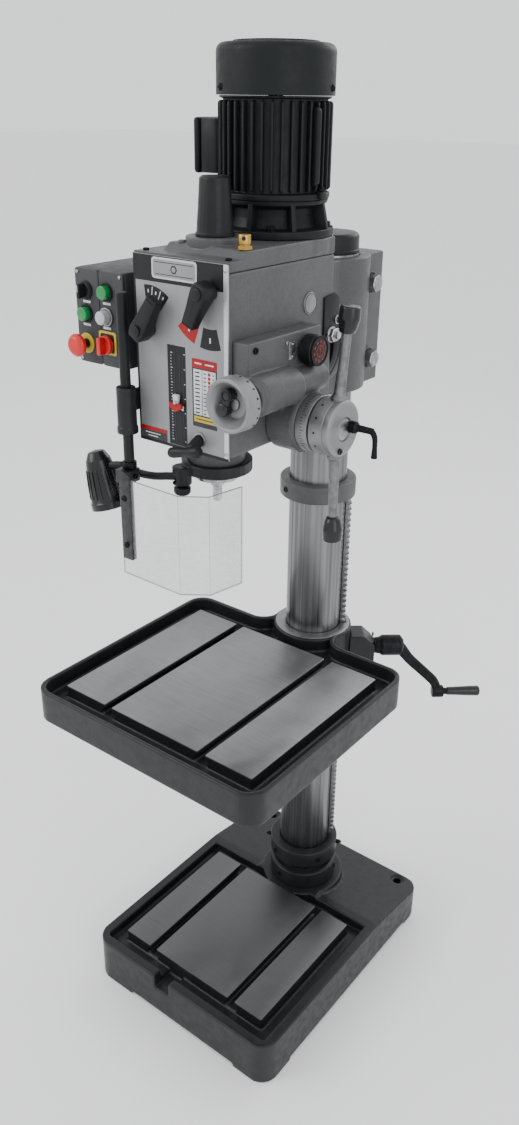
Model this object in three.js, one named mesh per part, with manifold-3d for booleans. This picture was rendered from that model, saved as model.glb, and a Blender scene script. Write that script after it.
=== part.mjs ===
// Floor-standing geared-head drill press, in millimetres, +Z up, front facing -Y.
// The origin is on the floor, under the centre of the machine's bounding box.
import * as THREE from "three";
import { mergeVertices } from "three/addons/utils/BufferGeometryUtils.js";
import Module from "manifold-3d";

const wasm = await Module();
wasm.setup();

// ---- driving dimensions -------------------------------------------------------------------

const GAP = 0.3;                  // between pieces that touch
const COLUMN_AT = [-16, 148];     // column axis in plan; everything below is measured from it
const COLUMN = { r: 57.5, bore: 47.5, foot: 117, top: 1615 };
const BASE = { halfX: 246, front: -472, back: 160, rim: 110, trough: 88, corner: 40, backTop: 80 };
const PAD = { halfX: 193.7, front: -420.4, back: -93.4, top: 116, slotX: 112.3, slotW: 18 };
const FOOT_NOTCH = 8;             // clearance under the base between its feet
const COLLAR = { lowR: 80, low: 181, lowTop: 222, highR: 77, high: 1115, highTop: 1152 };

const TABLE = { halfX: 270, front: -553, back: -60, top: 808, rim: 815, bottom: 747, corner: 38 };
const WORK = { halfX: 228.4, front: -503.4, back: -107.7, slotX: 115, slotW: 17 };
const TABLE_HUB = { r: 84, bottom: 672, top: 813 };
const RACK = { azimuth: 40, inner: 58, outer: 70.6, halfW: 12, module: 4 };
const ELEVATING_TEETH = 12;
const CRANK_Z = 750;
const CRANK = { hubIn: 137, hubOut: 203, eyeR: 292, drop: 123, gripIn: 312, gripOut: 387 };

const SPINDLE_Y = -317;
const GEAR_CENTRES = 76;          // spindle to countershaft, and countershaft to motor
const COUNTER_Y = SPINDLE_Y + GEAR_CENTRES;
const MOTOR_Y = COUNTER_Y + GEAR_CENTRES;
const GEAR_MODULE = 4;
const TEETH = { motor: 12, counterIn: 26, counterOut: 14, spindle: 24 };

const HEAD = { halfX: 98, front: -400, back: -123, bottom: 1316, seam: 1604, low: 1620, top: 1632 };
const CLAMP = { r: 80, bottom: 1340, top: 1583, earX: 58, earY: 104, boltY: 80, bolts: [1390, 1531] };
const PANEL = { halfX: 97, y: -403, bottom: 1312, top: 1617, slotX: -9, slotBottom: 1326, slotTop: 1476 };
const QUILL = { r: 37.5, bottom: 1241, top: 1440, boreR: 38, bossR: 50, bossBottom: 1262 };
const FEED = { y: -257, z: 1356, housingR: 53, hubR: 47, hubIn: 154, hubOut: 220, teeth: 16, module: 2.5 };
const WORM = { x: 138, z: 1424, wheelR: 46, wormR: 18, face: -457, cupR: 43, cupDepth: 32 };
const MOTOR = { base: 1632, bell: 1690, finTop: 1841, top: 1918, finR: 92, coverR: 95, flangeR: 100 };
const CONTROL = { left: -256, right: -141, front: -385, back: -235, bottom: 1417, top: 1577 };
const POST = { x: -106, y: -424, r: 9, bottom: 1246, top: 1558 };
const GUARD = { bottom: 1067, top: 1249, thick: 4 };
const RING = { r: 62, bottom: 1256, top: 1276, lug: [-28, -377], lugR: 17, lugBottom: 1238 };

const degrees = THREE.MathUtils.degToRad;

// ---- materials ----------------------------------------------------------------------------

function paint(color, roughness, metalness) {
  return () => new THREE.MeshStandardMaterial({ color, roughness, metalness });
}
const greyPaint = paint(0x6c6c6e, 0.55, 0.1);
const darkPaint = paint(0x2c2f31, 0.5, 0.1);
const motorPaint = paint(0x1d2022, 0.5, 0.1);
const blackPlastic = paint(0x15181a, 0.45, 0.0);
const steel = paint(0xa8a9ab, 0.3, 1.0);
const silverSheet = paint(0xb4b4b6, 0.4, 0.6);
const castSilver = paint(0xa9aaac, 0.45, 0.7);
const boxGrey = paint(0x5b5d60, 0.55, 0.1);
const clearPlastic = paint(0xe8ebec, 0.1, 0.0);
const buttonGreen = paint(0x1c8a3e, 0.35, 0.0);
const buttonWhite = paint(0xd8d9db, 0.35, 0.0);
const buttonRed = paint(0xc1251f, 0.4, 0.0);

// ---- solids -------------------------------------------------------------------------------

// A geometry as a manifold solid: vertices merged, flat slivers dropped, faces pointing out.
function solid(geometry) {
  const bare = new THREE.BufferGeometry();
  bare.setAttribute("position", geometry.getAttribute("position"));
  bare.setIndex(geometry.index);
  const merged = mergeVertices(bare, 1e-4);
  const corners = merged.index.array;
  const kept = [];
  for (let i = 0; i < corners.length; i += 3) {
    const [a, b, c] = corners.slice(i, i + 3);
    if (a !== b && b !== c && c !== a) kept.push(a, b, c);
  }
  const vertProperties = merged.getAttribute("position").array;
  const made = new wasm.Manifold(new wasm.Mesh({ numProp: 3, vertProperties, triVerts: new Uint32Array(kept) }));
  if (made.volume() > 0) return made;
  kept.reverse();
  return new wasm.Manifold(new wasm.Mesh({ numProp: 3, vertProperties, triVerts: new Uint32Array(kept) }));
}

function join(...solids) {
  return solids.reduce((sum, next) => sum.add(next));
}

function cut(body, ...tools) {
  return tools.reduce((rest, tool) => rest.subtract(tool), body);
}

function box(x0, x1, y0, y1, z0, z1) {
  const geometry = new THREE.BoxGeometry(x1 - x0, y1 - y0, z1 - z0);
  return solid(geometry.translate((x0 + x1) / 2, (y0 + y1) / 2, (z0 + z1) / 2));
}

// Turns a geometry whose axis is +Z so that the axis lies along X, Y or Z, at (u, v) in the
// plane across it: (y, z) for X, (x, z) for Y, (x, y) for Z.
function lay(geometry, axis, u, v) {
  if (axis === "x") return geometry.rotateZ(Math.PI / 2).rotateY(Math.PI / 2).translate(0, u, v);
  if (axis === "y") return geometry.rotateX(-Math.PI / 2).translate(u, 0, v);
  return geometry.translate(u, v, 0);
}

// A round bar or cone between two places on its axis.
function bar(axis, u, v, r, from, to, sides = 18, farR = r) {
  const geometry = new THREE.CylinderGeometry(farR, r, to - from, sides);
  geometry.rotateX(Math.PI / 2).translate(0, 0, (from + to) / 2);
  return solid(lay(geometry, axis, u, v));
}

// A solid of revolution from [radius, height] corners that start and end on the axis or close.
function spun(corners, axis = "z", u = 0, v = 0, sides = 24) {
  const points = corners.map(([r, h]) => new THREE.Vector2(r, h));
  const geometry = new THREE.LatheGeometry(points, sides);
  return solid(lay(geometry.rotateX(Math.PI / 2), axis, u, v));
}

// A tube with one outer and one inner radius.
function tube(axis, u, v, outer, inner, from, to, sides = 24) {
  return cut(bar(axis, u, v, outer, from, to, sides), bar(axis, u, v, inner, from - 1, to + 1, sides));
}

function outline(corners) {
  return new THREE.Shape(corners.map(([x, y]) => new THREE.Vector2(x, y)));
}

function roundedRectangle(x0, x1, y0, y1, r) {
  const shape = new THREE.Shape();
  shape.moveTo(x0 + r, y0);
  shape.lineTo(x1 - r, y0);
  shape.absarc(x1 - r, y0 + r, r, -Math.PI / 2, 0);
  shape.lineTo(x1, y1 - r);
  shape.absarc(x1 - r, y1 - r, r, 0, Math.PI / 2);
  shape.lineTo(x0 + r, y1);
  shape.absarc(x0 + r, y1 - r, r, Math.PI / 2, Math.PI);
  shape.lineTo(x0, y0 + r);
  shape.absarc(x0 + r, y0 + r, r, Math.PI, 1.5 * Math.PI);
  return shape;
}

// A plan outline raised between two heights.
function slab(shape, z0, z1, curveSegments = 4) {
  const geometry = new THREE.ExtrudeGeometry(shape, { depth: z1 - z0, bevelEnabled: false, curveSegments });
  return solid(geometry.translate(0, 0, z0));
}

// A side outline in (y, z) drawn across the width from x0 to x1.
function acrossX(corners, x0, x1) {
  const geometry = new THREE.ExtrudeGeometry(outline(corners), { depth: x1 - x0, bevelEnabled: false });
  return solid(geometry.rotateZ(Math.PI / 2).rotateY(Math.PI / 2).translate(x0, 0, 0));
}

// A front outline in (x, z) drawn back from y0 to y1.
function acrossY(shape, y0, y1, curveSegments = 4) {
  const geometry = new THREE.ExtrudeGeometry(shape, { depth: y1 - y0, bevelEnabled: false, curveSegments });
  return solid(geometry.rotateX(Math.PI / 2).translate(0, y1, 0));
}

// A round rod that follows a curve through the given points.
function bentRod(points, r, steps) {
  const section = new THREE.Shape();
  section.absarc(0, 0, r, 0, 2 * Math.PI);
  const path = new THREE.CatmullRomCurve3(points.map((p) => new THREE.Vector3(...p)));
  const settings = { steps, bevelEnabled: false, extrudePath: path, curveSegments: 6 };
  return solid(new THREE.ExtrudeGeometry(section, settings));
}

// A cone or bar from one point to another.
function strut(from, to, r, farR = r, sides = 14) {
  const start = new THREE.Vector3(...from);
  const reach = new THREE.Vector3(...to).sub(start);
  const geometry = new THREE.CylinderGeometry(farR, r, reach.length(), sides);
  geometry.translate(0, reach.length() / 2, 0);
  const turn = new THREE.Quaternion().setFromUnitVectors(new THREE.Vector3(0, 1, 0), reach.clone().normalize());
  return solid(geometry.applyQuaternion(turn).translate(...from));
}

// A standing sheet along a line of plan points, round at its bends.
function wall(line, thick, z0, z1) {
  const parts = [];
  for (let i = 1; i < line.length; i += 1) {
    const [ax, ay] = line[i - 1];
    const [bx, by] = line[i];
    const length = Math.hypot(bx - ax, by - ay);
    const panel = new THREE.BoxGeometry(length, thick, z1 - z0).translate(length / 2, 0, (z0 + z1) / 2);
    parts.push(solid(panel.rotateZ(Math.atan2(by - ay, bx - ax)).translate(ax, ay, 0)));
    if (i > 1) parts.push(bar("z", ax, ay, thick / 2, z0, z1, 16));
  }
  return join(...parts);
}

// A spur gear outline with straight-sided teeth, thinned for backlash; phase turns it, in teeth.
function gearOutline(teeth, module, phase) {
  const pitch = (teeth * module) / 2;
  const tooth = (2 * Math.PI) / teeth;
  const corners = [];
  for (let i = 0; i < teeth; i += 1) {
    const middle = (i + phase) * tooth;
    for (const [r, part] of [[pitch + 0.85 * module, -0.1], [pitch + 0.85 * module, 0.1], [pitch - 2 * module, 0.5]]) {
      corners.push([r * Math.cos(middle + part * tooth), r * Math.sin(middle + part * tooth)]);
    }
  }
  return outline(corners);
}

function gear(axis, u, v, teeth, module, from, to, phase = 0) {
  const settings = { depth: to - from, bevelEnabled: false };
  const geometry = new THREE.ExtrudeGeometry(gearOutline(teeth, module, phase), settings);
  return solid(lay(geometry.translate(0, 0, from), axis, u, v));
}

// A rack outline: [along, out] corners from one end to the other, tooth gaps centred on a place.
function rackCorners(from, to, back, pitchLine, module, gapAt) {
  const pitch = Math.PI * module;
  const root = pitchLine - 2 * module;
  const tip = pitchLine + 0.9 * module;
  const corners = [[from, back], [from, root]];
  const first = Math.ceil((from - gapAt) / pitch);
  const last = Math.floor((to - gapAt) / pitch);
  for (let i = first; i < last; i += 1) {
    const middle = gapAt + (i + 0.5) * pitch;
    corners.push([middle - 0.12 * pitch, tip], [middle + 0.12 * pitch, tip], [middle + 0.5 * pitch, root]);
  }
  corners.push([to, root], [to, back]);
  return corners;
}

// A named mesh from a solid, put in a group.
function piece(parent, name, body, material) {
  const { numProp, numVert, vertProperties, triVerts } = body.getMesh();
  const places = new Float32Array(numVert * 3);
  for (let i = 0; i < numVert; i += 1) {
    places.set(vertProperties.subarray(i * numProp, i * numProp + 3), i * 3);
  }
  const geometry = new THREE.BufferGeometry();
  geometry.setAttribute("position", new THREE.BufferAttribute(places, 3));
  geometry.setIndex(new THREE.BufferAttribute(new Uint32Array(triVerts), 1));
  geometry.computeVertexNormals();
  const mesh = new THREE.Mesh(geometry, material());
  mesh.name = name;
  parent.add(mesh);
  return mesh;
}

function group(parent, x, y, z) {
  const made = new THREE.Group();
  made.position.set(x, y, z);
  parent.add(made);
  return made;
}

// ---- base and column ----------------------------------------------------------------------

// A T-slot along Y: a narrow mouth and a wider bottom.
function tSlot(x, width, y0, y1, top, depth) {
  const mouth = box(x - width / 2, x + width / 2, y0, y1, top - depth, top + 1);
  const bottom = box(x - width * 0.85, x + width * 0.85, y0, y1, top - depth, top - depth * 0.5);
  return join(mouth, bottom);
}

function makeBase(press) {
  const { halfX, front, back, rim, trough, corner, backTop } = BASE;
  const plan = (inset, z0, z1) =>
    slab(roundedRectangle(-halfX + inset, halfX - inset, front + inset, back - inset, corner - inset / 2), z0, z1);
  const crease = -45;
  const slope = acrossX([[crease, rim], [back + 1, backTop], [back + 1, rim + 1], [crease, rim + 1]], -300, 300);
  const shell = cut(plan(0, 0, rim), slope, plan(22, -1, 62));
  const moat = cut(
    box(-halfX + 22, halfX - 22, front + 22, PAD.back + 26, trough, rim + 1),
    box(-PAD.halfX, PAD.halfX, PAD.front, PAD.back, trough - 1, rim + 2),
  );
  const pad = box(-PAD.halfX, PAD.halfX, PAD.front, PAD.back, 70, PAD.top);
  const boss = join(bar("z", 0, 0, 98, 60, PAD.top, 32), box(-86, 86, PAD.back + 26, 40, 60, PAD.top));
  const slots = [-PAD.slotX, PAD.slotX].map((x) => tSlot(x, PAD.slotW, PAD.front - 1, PAD.back + 27, PAD.top, 24));
  const drain = box(-62, -22, front - 1, PAD.front + 1, trough - 12, rim + 1);
  const anchors = [-194, 194].map((x) => join(bar("z", x, 136, 9, -1, rim, 16), bar("z", x, 136, 17, 78, rim, 16)));
  const floorGaps = [
    box(-135, 158, front - 1, front + 30, -1, FOOT_NOTCH),
    box(-135, 158, back - 30, back + 1, -1, FOOT_NOTCH),
    box(-halfX - 1, -halfX + 30, -384, 92, -1, FOOT_NOTCH),
    box(halfX - 30, halfX + 1, -384, 92, -1, FOOT_NOTCH),
  ];
  piece(press, "base", cut(join(cut(shell, moat), pad, boss), ...slots, drain, ...anchors, ...floorGaps), darkPaint);
}

function makeColumn(press) {
  const { r, bore, foot, top } = COLUMN;
  const flange = spun([[r + GAP, PAD.top + GAP], [79, PAD.top + GAP], [79, 150], [74, 160], [r + GAP, 160],
    [r + GAP, PAD.top + GAP]], "z", 0, 0, 36);
  piece(press, "column_foot", flange, darkPaint);
  const cap = bar("z", 0, 0, r, top, top + 6, 40);
  piece(press, "column", join(tube("z", 0, 0, r, bore, foot, top, 40), cap), steel);
  const lower = cut(bar("z", 0, 0, COLLAR.lowR, COLLAR.low, COLLAR.lowTop, 32),
    bar("z", 0, 0, r + GAP, COLLAR.low - 1, COLLAR.lowTop + 1, 48));
  piece(press, "lower_collar", lower, darkPaint);
  const upper = cut(bar("z", 0, 0, COLLAR.highR, COLLAR.high, COLLAR.highTop, 32),
    bar("z", 0, 0, r + GAP, COLLAR.high - 1, COLLAR.highTop + 1, 48),
    bar("z", 0, 0, 67, COLLAR.highTop - 14, COLLAR.highTop + 1, 24),
    bar("z", 0, 0, 73, COLLAR.high - 1, COLLAR.high + 13, 24));
  piece(press, "upper_collar", upper, greyPaint);
}

// ---- table --------------------------------------------------------------------------------

// The tray's plan, inset from the rim: a rounded rectangle with a neck that runs back to the hub.
function trayPlan(inset) {
  const x = TABLE.halfX - inset;
  const front = TABLE.front + inset;
  const back = TABLE.back - inset;
  const r = TABLE.corner - inset / 2;
  const neck = 80 - inset;
  const fillet = 36 + inset;
  const shape = new THREE.Shape();
  shape.moveTo(-x + r, front);
  shape.lineTo(x - r, front);
  shape.absarc(x - r, front + r, r, -Math.PI / 2, 0);
  shape.lineTo(x, back - r);
  shape.absarc(x - r, back - r, r, 0, Math.PI / 2);
  shape.lineTo(neck + fillet, back);
  shape.absarc(neck + fillet, back + fillet, fillet, 1.5 * Math.PI, Math.PI, true);
  shape.lineTo(neck, 0);
  shape.lineTo(-neck, 0);
  shape.lineTo(-neck, back + fillet);
  shape.absarc(-neck - fillet, back + fillet, fillet, 0, -Math.PI / 2, true);
  shape.lineTo(-x + r, back);
  shape.absarc(-x + r, back - r, r, Math.PI / 2, Math.PI);
  shape.lineTo(-x, front + r);
  shape.absarc(-x + r, front + r, r, Math.PI, 1.5 * Math.PI);
  return shape;
}

function makeTable(press) {
  const { rim, bottom, top } = TABLE;
  const floor = 784;
  const tray = cut(slab(trayPlan(0), bottom, rim), slab(trayPlan(9), floor, rim + 1),
    cut(slab(trayPlan(14), bottom - 1, floor - 16), bar("z", 0, 0, 100, bottom - 2, floor, 18)));
  const surface = box(-WORK.halfX, WORK.halfX, WORK.front, WORK.back, floor - 8, top);
  const slots = [-WORK.slotX, WORK.slotX].map((x) => tSlot(x, WORK.slotW, WORK.front - 1, WORK.back + 1, top, 22));
  const hub = bar("z", 0, 0, TABLE_HUB.r, TABLE_HUB.bottom, TABLE_HUB.top, 32);
  const bore = bar("z", 0, 0, COLUMN.r + 0.5, TABLE_HUB.bottom - 1, rim + 1, 48);
  const plain = cut(join(cut(join(tray, surface), ...slots), hub), bore);
  const way = new THREE.BoxGeometry(RACK.outer - 40, 2 * RACK.halfW + 2, 200);
  way.translate((RACK.outer + 42) / 2, 0, 750).rotateZ(degrees(RACK.azimuth));
  const window = new THREE.BoxGeometry(60, 2 * RACK.halfW + 6, 92);
  window.translate(90, 0, 726).rotateZ(degrees(RACK.azimuth));
  piece(press, "table", cut(plain, solid(way), solid(window)), darkPaint);
}

// The crank's own frame: X runs out from the column along the rack's azimuth.
function makeElevation(press) {
  const side = group(press, 0, 0, 0);
  side.rotation.z = degrees(RACK.azimuth);
  const pinionR = (ELEVATING_TEETH * RACK.module) / 2;
  const pitchLine = RACK.outer - RACK.module;
  const pinionX = pitchLine + pinionR;
  const pinionZ = CRANK_Z - 40;

  const teeth = rackCorners(COLLAR.lowTop + GAP, COLLAR.high + 10, RACK.inner, pitchLine, RACK.module, pinionZ);
  const rack = new THREE.ExtrudeGeometry(outline(teeth.map(([along, out]) => [out, along])),
    { depth: 2 * RACK.halfW, bevelEnabled: false });
  rack.rotateX(Math.PI / 2).translate(0, RACK.halfW, 0);
  piece(side, "elevating_rack", solid(rack), steel);

  const shell = join(
    acrossY(outline([[TABLE_HUB.r - 10, 672], [130, 672], [136, 690], [136, 763], [112, 786],
      [TABLE_HUB.r - 10, 786]]), -27, 27),
    bar("x", 0, CRANK_Z, 22, 130, CRANK.hubIn - 1, 18),
  );
  const hollow = join(
    box(60, 126, -15, 15, 680, 772),
    bar("x", 0, CRANK_Z, 9.3, 60, 150, 16),
  );
  const housing = cut(shell, hollow, bar("z", 0, 0, TABLE_HUB.r + GAP, 600, 900, 48));
  piece(side, "table_gear_housing", housing, darkPaint);

  const pinion = gear("y", pinionX, pinionZ, ELEVATING_TEETH, RACK.module, -13, 13);
  piece(side, "elevating_pinion", pinion, steel);

  const { hubIn, hubOut, eyeR, drop, gripIn, gripOut } = CRANK;
  const low = CRANK_Z - drop;
  const arm = bentRod([[hubOut - 8, 0, CRANK_Z - 2], [hubOut + 6, 0, CRANK_Z - 22], [222, 0, 712], [259, 0, 676],
    [eyeR - 8, 0, low + 22], [eyeR, 0, low]], 12, 14);
  const shaft = join(bar("x", 0, CRANK_Z, 8.5, 76, hubOut - 4, 16), bar("x", 0, CRANK_Z, 23, hubIn, hubOut, 18),
    arm, bar("x", 0, low, 14, eyeR - 14, eyeR + 12, 16), bar("x", 0, low, 5, eyeR, gripOut - 4, 16));
  piece(side, "table_crank", shaft, blackPlastic);
  const grip = cut(bar("x", 0, low, 9, gripIn, gripOut, 16, 11.5), bar("x", 0, low, 5 + GAP, gripIn - 1, gripOut - 4 + GAP, 16));
  piece(side, "crank_grip", grip, blackPlastic);

  const left = group(press, 0, 0, 740);
  left.rotation.z = degrees(140);
  const stub = bar("x", 0, 0, 9, TABLE_HUB.r + 1, 112, 16);
  const lever = strut([106, 0, 0], [118, 0, 88], 8, 6);
  const knob = bar("z", 119, 0, 11, 84, 108, 16);
  piece(left, "table_lock_lever", join(stub, lever, knob), blackPlastic);
}

// ---- head ---------------------------------------------------------------------------------

const LEVERS = { left: [-65.5, 1503], right: [63.8, 1575], lock: [37, 1337], shaftR: 7 };

function makeHeadCasting(press) {
  const { halfX, front, back, bottom, seam } = HEAD;
  const shell = join(
    box(-halfX, halfX, front, back, bottom, seam),
    box(-62, 62, back - 1, -20, 1345, CLAMP.top),
    bar("z", 0, 0, CLAMP.r, CLAMP.bottom, CLAMP.top, 48),
    box(-CLAMP.earX, CLAMP.earX, 40, CLAMP.earY, CLAMP.bottom, CLAMP.top),
    bar("z", 0, SPINDLE_Y, QUILL.bossR, QUILL.bossBottom, bottom + 1, 32),
  );
  const cavity = box(-halfX + 12, halfX - 12, front + 12, back - 12, bottom + 14, seam + 1);
  const guide = bar("z", 0, SPINDLE_Y, QUILL.bossR, bottom + 10, QUILL.top, 32);
  const web = box(-halfX + 5, halfX - 5, -275, -205, 1480, 1496);
  const inside = [
    bar("z", 0, 0, COLUMN.r + GAP, CLAMP.bottom - 1, CLAMP.top + 1, 48),
    box(-4, 4, 30, CLAMP.earY + 1, CLAMP.bottom - 1, CLAMP.top + 1),
    bar("z", 0, SPINDLE_Y, QUILL.boreR, QUILL.bossBottom - 1, QUILL.top + 1, 32),
    box(-11, 11, SPINDLE_Y + 20, SPINDLE_Y + 45, QUILL.bossBottom - 1, QUILL.top + 1),
    box(-14, 14, SPINDLE_Y + 30, FEED.y + 28, bottom + 14, FEED.z + 30),
    bar("x", FEED.y, FEED.z, 12 + GAP, 0, halfX + 1, 18),
    bar("z", 0, COUNTER_Y, 12 + GAP, 1400, 1500, 18),
    ...CLAMP.bolts.map((z) => bar("x", CLAMP.boltY, z, 8.5, -70, 70, 16)),
    ...[LEVERS.left, LEVERS.right, LEVERS.lock].map(([x, z]) => bar("y", x, z, LEVERS.shaftR + GAP, front - 1, front + 26, 16)),
    box(PANEL.slotX - 11, PANEL.slotX + 11, front - 1, front + 7, PANEL.slotBottom, PANEL.slotTop),
  ];
  piece(press, "head_casting", cut(join(cut(shell, cavity), guide, web), ...inside), greyPaint);
}

function makeTopCover(press) {
  const { halfX, front, back, seam, low, top } = HEAD;
  const deck = box(-halfX, halfX, front, back, seam + GAP, low);
  const raised = acrossX([[-372, low - 2], [back, low - 2], [back, top], [-356, top]], -62, halfX);
  const seat = bar("z", 0, MOTOR_Y, MOTOR.flangeR + 1, seam + 6, top, 48);
  const boss = bar("z", 0, SPINDLE_Y, 46, low - 2, top + 10, 32);
  const holes = [bar("z", 0, SPINDLE_Y, 22, seam - 1, top + 11, 18), bar("z", 0, MOTOR_Y, 34, seam - 1, top + 11, 18)];
  piece(press, "head_top_cover", cut(join(deck, raised, seat, boss), ...holes), greyPaint);

  const z = top + 10 + GAP;
  const cap = [[17, z], [29, z], [28.5, z + 8], [24, z + 85], [20, z + 88], [0, z + 88], [0, z + 82], [14, z + 78], [17, z]];
  piece(press, "spindle_cap", spun(cap, "z", 0, SPINDLE_Y, 18), blackPlastic);
}

function makeFeedGearbox(press) {
  const x = HEAD.halfX + GAP;
  const { y, z, housingR } = FEED;
  const block = box(x, 131, -395, -205, 1388, 1504);
  const bridge = box(x, 128, y - 48, y + 46, z, 1400);
  const housing = join(bar("x", y, z, housingR, x, 148, 32), bar("x", y, z, housingR, 148, 153.7, 32, 50));
  const wormTube = join(bar("y", WORM.x, WORM.z, 23.5, -388, -218, 24),
    bar("y", WORM.x, WORM.z, 32, -392, -352, 32), bar("y", WORM.x, WORM.z, 27, -404, -388, 24));
  const wheelRoom = bar("x", y, z, WORM.wheelR + 2, 126, 150, 32);
  const wormRoom = bar("y", WORM.x, WORM.z, WORM.wormR + 1.5, -292, -226, 24);
  const shaftWay = bar("y", WORM.x, WORM.z, 10 + GAP, -405, -290, 18);
  const pinionWay = bar("x", y, z, 12 + GAP, x - 1, 155, 24);
  const ringRoom = bar("x", y, z, 52, 153.7, 200, 32);
  const body = cut(join(block, bridge, housing, wormTube), wheelRoom, wormRoom, shaftWay, pinionWay, ringRoom);
  piece(press, "feed_gearbox", body, greyPaint);
}

function makeNeckCover(press) {
  const disc = spun([[0, 62 + GAP], [50, 62 + GAP], [52, 66], [52, 80], [49, 84], [0, 84]], "x", -70, 1470, 24);
  const boltEnd = bar("x", -70, 1470, 9, 83, 94, 6);
  const clear = bar("z", 0, 0, CLAMP.r + GAP, 1300, 1600, 48);
  const clearHead = box(-100, 100, -300, HEAD.back + GAP, 1300, 1600);
  piece(press, "neck_cover", cut(join(disc, boltEnd), clear, clearHead), blackPlastic);
}

function makeFrontPanel(press) {
  const { halfX, y, bottom, top, slotX, slotBottom, slotTop } = PANEL;
  const sheet = box(-halfX, halfX, y, HEAD.front - GAP, bottom, top);
  const holes = [LEVERS.left, LEVERS.right, LEVERS.lock].map(([x, z]) =>
    bar("y", x, z, LEVERS.shaftR + GAP, y - 1, y + 10, 16));
  const slot = box(slotX - 4, slotX + 4, y - 1, y + 10, slotBottom, slotTop);
  piece(press, "front_panel", cut(sheet, slot, ...holes), silverSheet);
  const marker = join(
    box(slotX - 13, slotX + 13, y - 5, y - GAP, 1384, 1404),
    box(slotX - 3.5, slotX + 3.5, y - 1, HEAD.front + 3, 1388, 1400),
    box(slotX - 9, slotX + 9, HEAD.front + 1, HEAD.front + 5, 1386, 1402),
    bar("y", slotX, 1394, 5, y - 9, y - 4, 16),
  );
  piece(press, "depth_pointer", marker, buttonRed);
}

// A paddle lever that turns about Y: a hub that stands out of the panel and a flat handle.
function makePaddle(press, name, [x, z], angle) {
  const pivot = group(press, x, 0, z);
  pivot.rotation.y = degrees(angle);
  const face = PANEL.y - GAP;
  const handle = new THREE.Shape();
  handle.absarc(0, 0, 15, Math.PI, 0, true);
  handle.lineTo(12, -56);
  handle.absarc(6, -58, 6, 0, -Math.PI / 2, true);
  handle.absarc(-6, -58, 6, -Math.PI / 2, -Math.PI, true);
  handle.lineTo(-15, 0);
  const body = join(bar("y", 0, 0, 14, face - 30, face, 18), acrossY(handle, face - 34, face - 12),
    bar("y", 0, 0, LEVERS.shaftR, face - 5, HEAD.front + 24, 16));
  piece(pivot, name, body, blackPlastic);
}

function makeControls(press) {
  makePaddle(press, "speed_lever_left", LEVERS.left, -150);
  makePaddle(press, "speed_lever_right", LEVERS.right, 28);
  const pivot = group(press, LEVERS.lock[0], 0, LEVERS.lock[1]);
  const face = PANEL.y - GAP;
  const lock = join(bar("y", 0, 0, 12, face - 22, face, 16), bar("y", 0, 0, LEVERS.shaftR, face - 5, HEAD.front + 20, 16),
    strut([0, face - 14, 0], [-14, face - 18, -22], 8), bar("x", face - 18, -22, 9, -48, 10, 16));
  piece(pivot, "quill_lock_lever", lock, blackPlastic);
}

// ---- spindle and gear train ---------------------------------------------------------------

function makeSpindle(press) {
  const line = group(press, 0, SPINDLE_Y, 0);
  const { r, bottom, top } = QUILL;
  const pitchLine = FEED.y - SPINDLE_Y - (FEED.teeth * FEED.module) / 2;
  const sleeve = join(bar("z", 0, 0, r, bottom, top, 28),
    acrossX(rackCorners(1290, 1438, 30, pitchLine, FEED.module, FEED.z).map(([along, out]) => [out, along]), -9, 9));
  piece(line, "quill", cut(sleeve, bar("z", 0, 0, 26 + GAP, bottom - 1, top + 1, 24)), steel);
  piece(line, "spindle_bearing_lower", tube("z", 0, 0, 26, 15 + GAP, 1251, 1269, 18), steel);
  piece(line, "spindle_bearing_upper", tube("z", 0, 0, 26, 15 + GAP, 1414, 1432, 18), steel);
  const spindle = spun([[0, 1310], [9 + GAP, 1304], [9 + GAP, 1240], [22, 1240], [22, 1250], [15, 1250.5], [15, 1668], [0, 1668]],
    "z", 0, 0, 18);
  piece(line, "spindle", spindle, steel);
  const arbor = spun([[0, 1197], [7, 1197], [8, 1199], [8.4, 1224], [11.5, 1226], [11.5, 1240 - GAP], [9, 1240], [9, 1300], [0, 1302]],
    "z", 0, 0, 18);
  piece(line, "drill_arbor", arbor, steel);
  const drive = join(gear("z", 0, 0, TEETH.spindle, GEAR_MODULE, 1540, 1560, 0.5), bar("z", 0, 0, 19, 1500, 1638, 18));
  piece(line, "spindle_drive_gear", cut(drive, bar("z", 0, 0, 15 + GAP, 1499, 1640, 18)), steel);
}

function makeCountershaft(press) {
  const line = group(press, 0, COUNTER_Y, 0);
  const shaft = join(bar("z", 0, 0, 12, 1482, 1602, 18),
    gear("z", 0, 0, TEETH.counterIn, GEAR_MODULE, 1575, 1595, 0.5),
    gear("z", 0, 0, TEETH.counterOut, GEAR_MODULE, 1538, 1562, 0.5));
  piece(line, "countershaft", shaft, steel);
}

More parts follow.
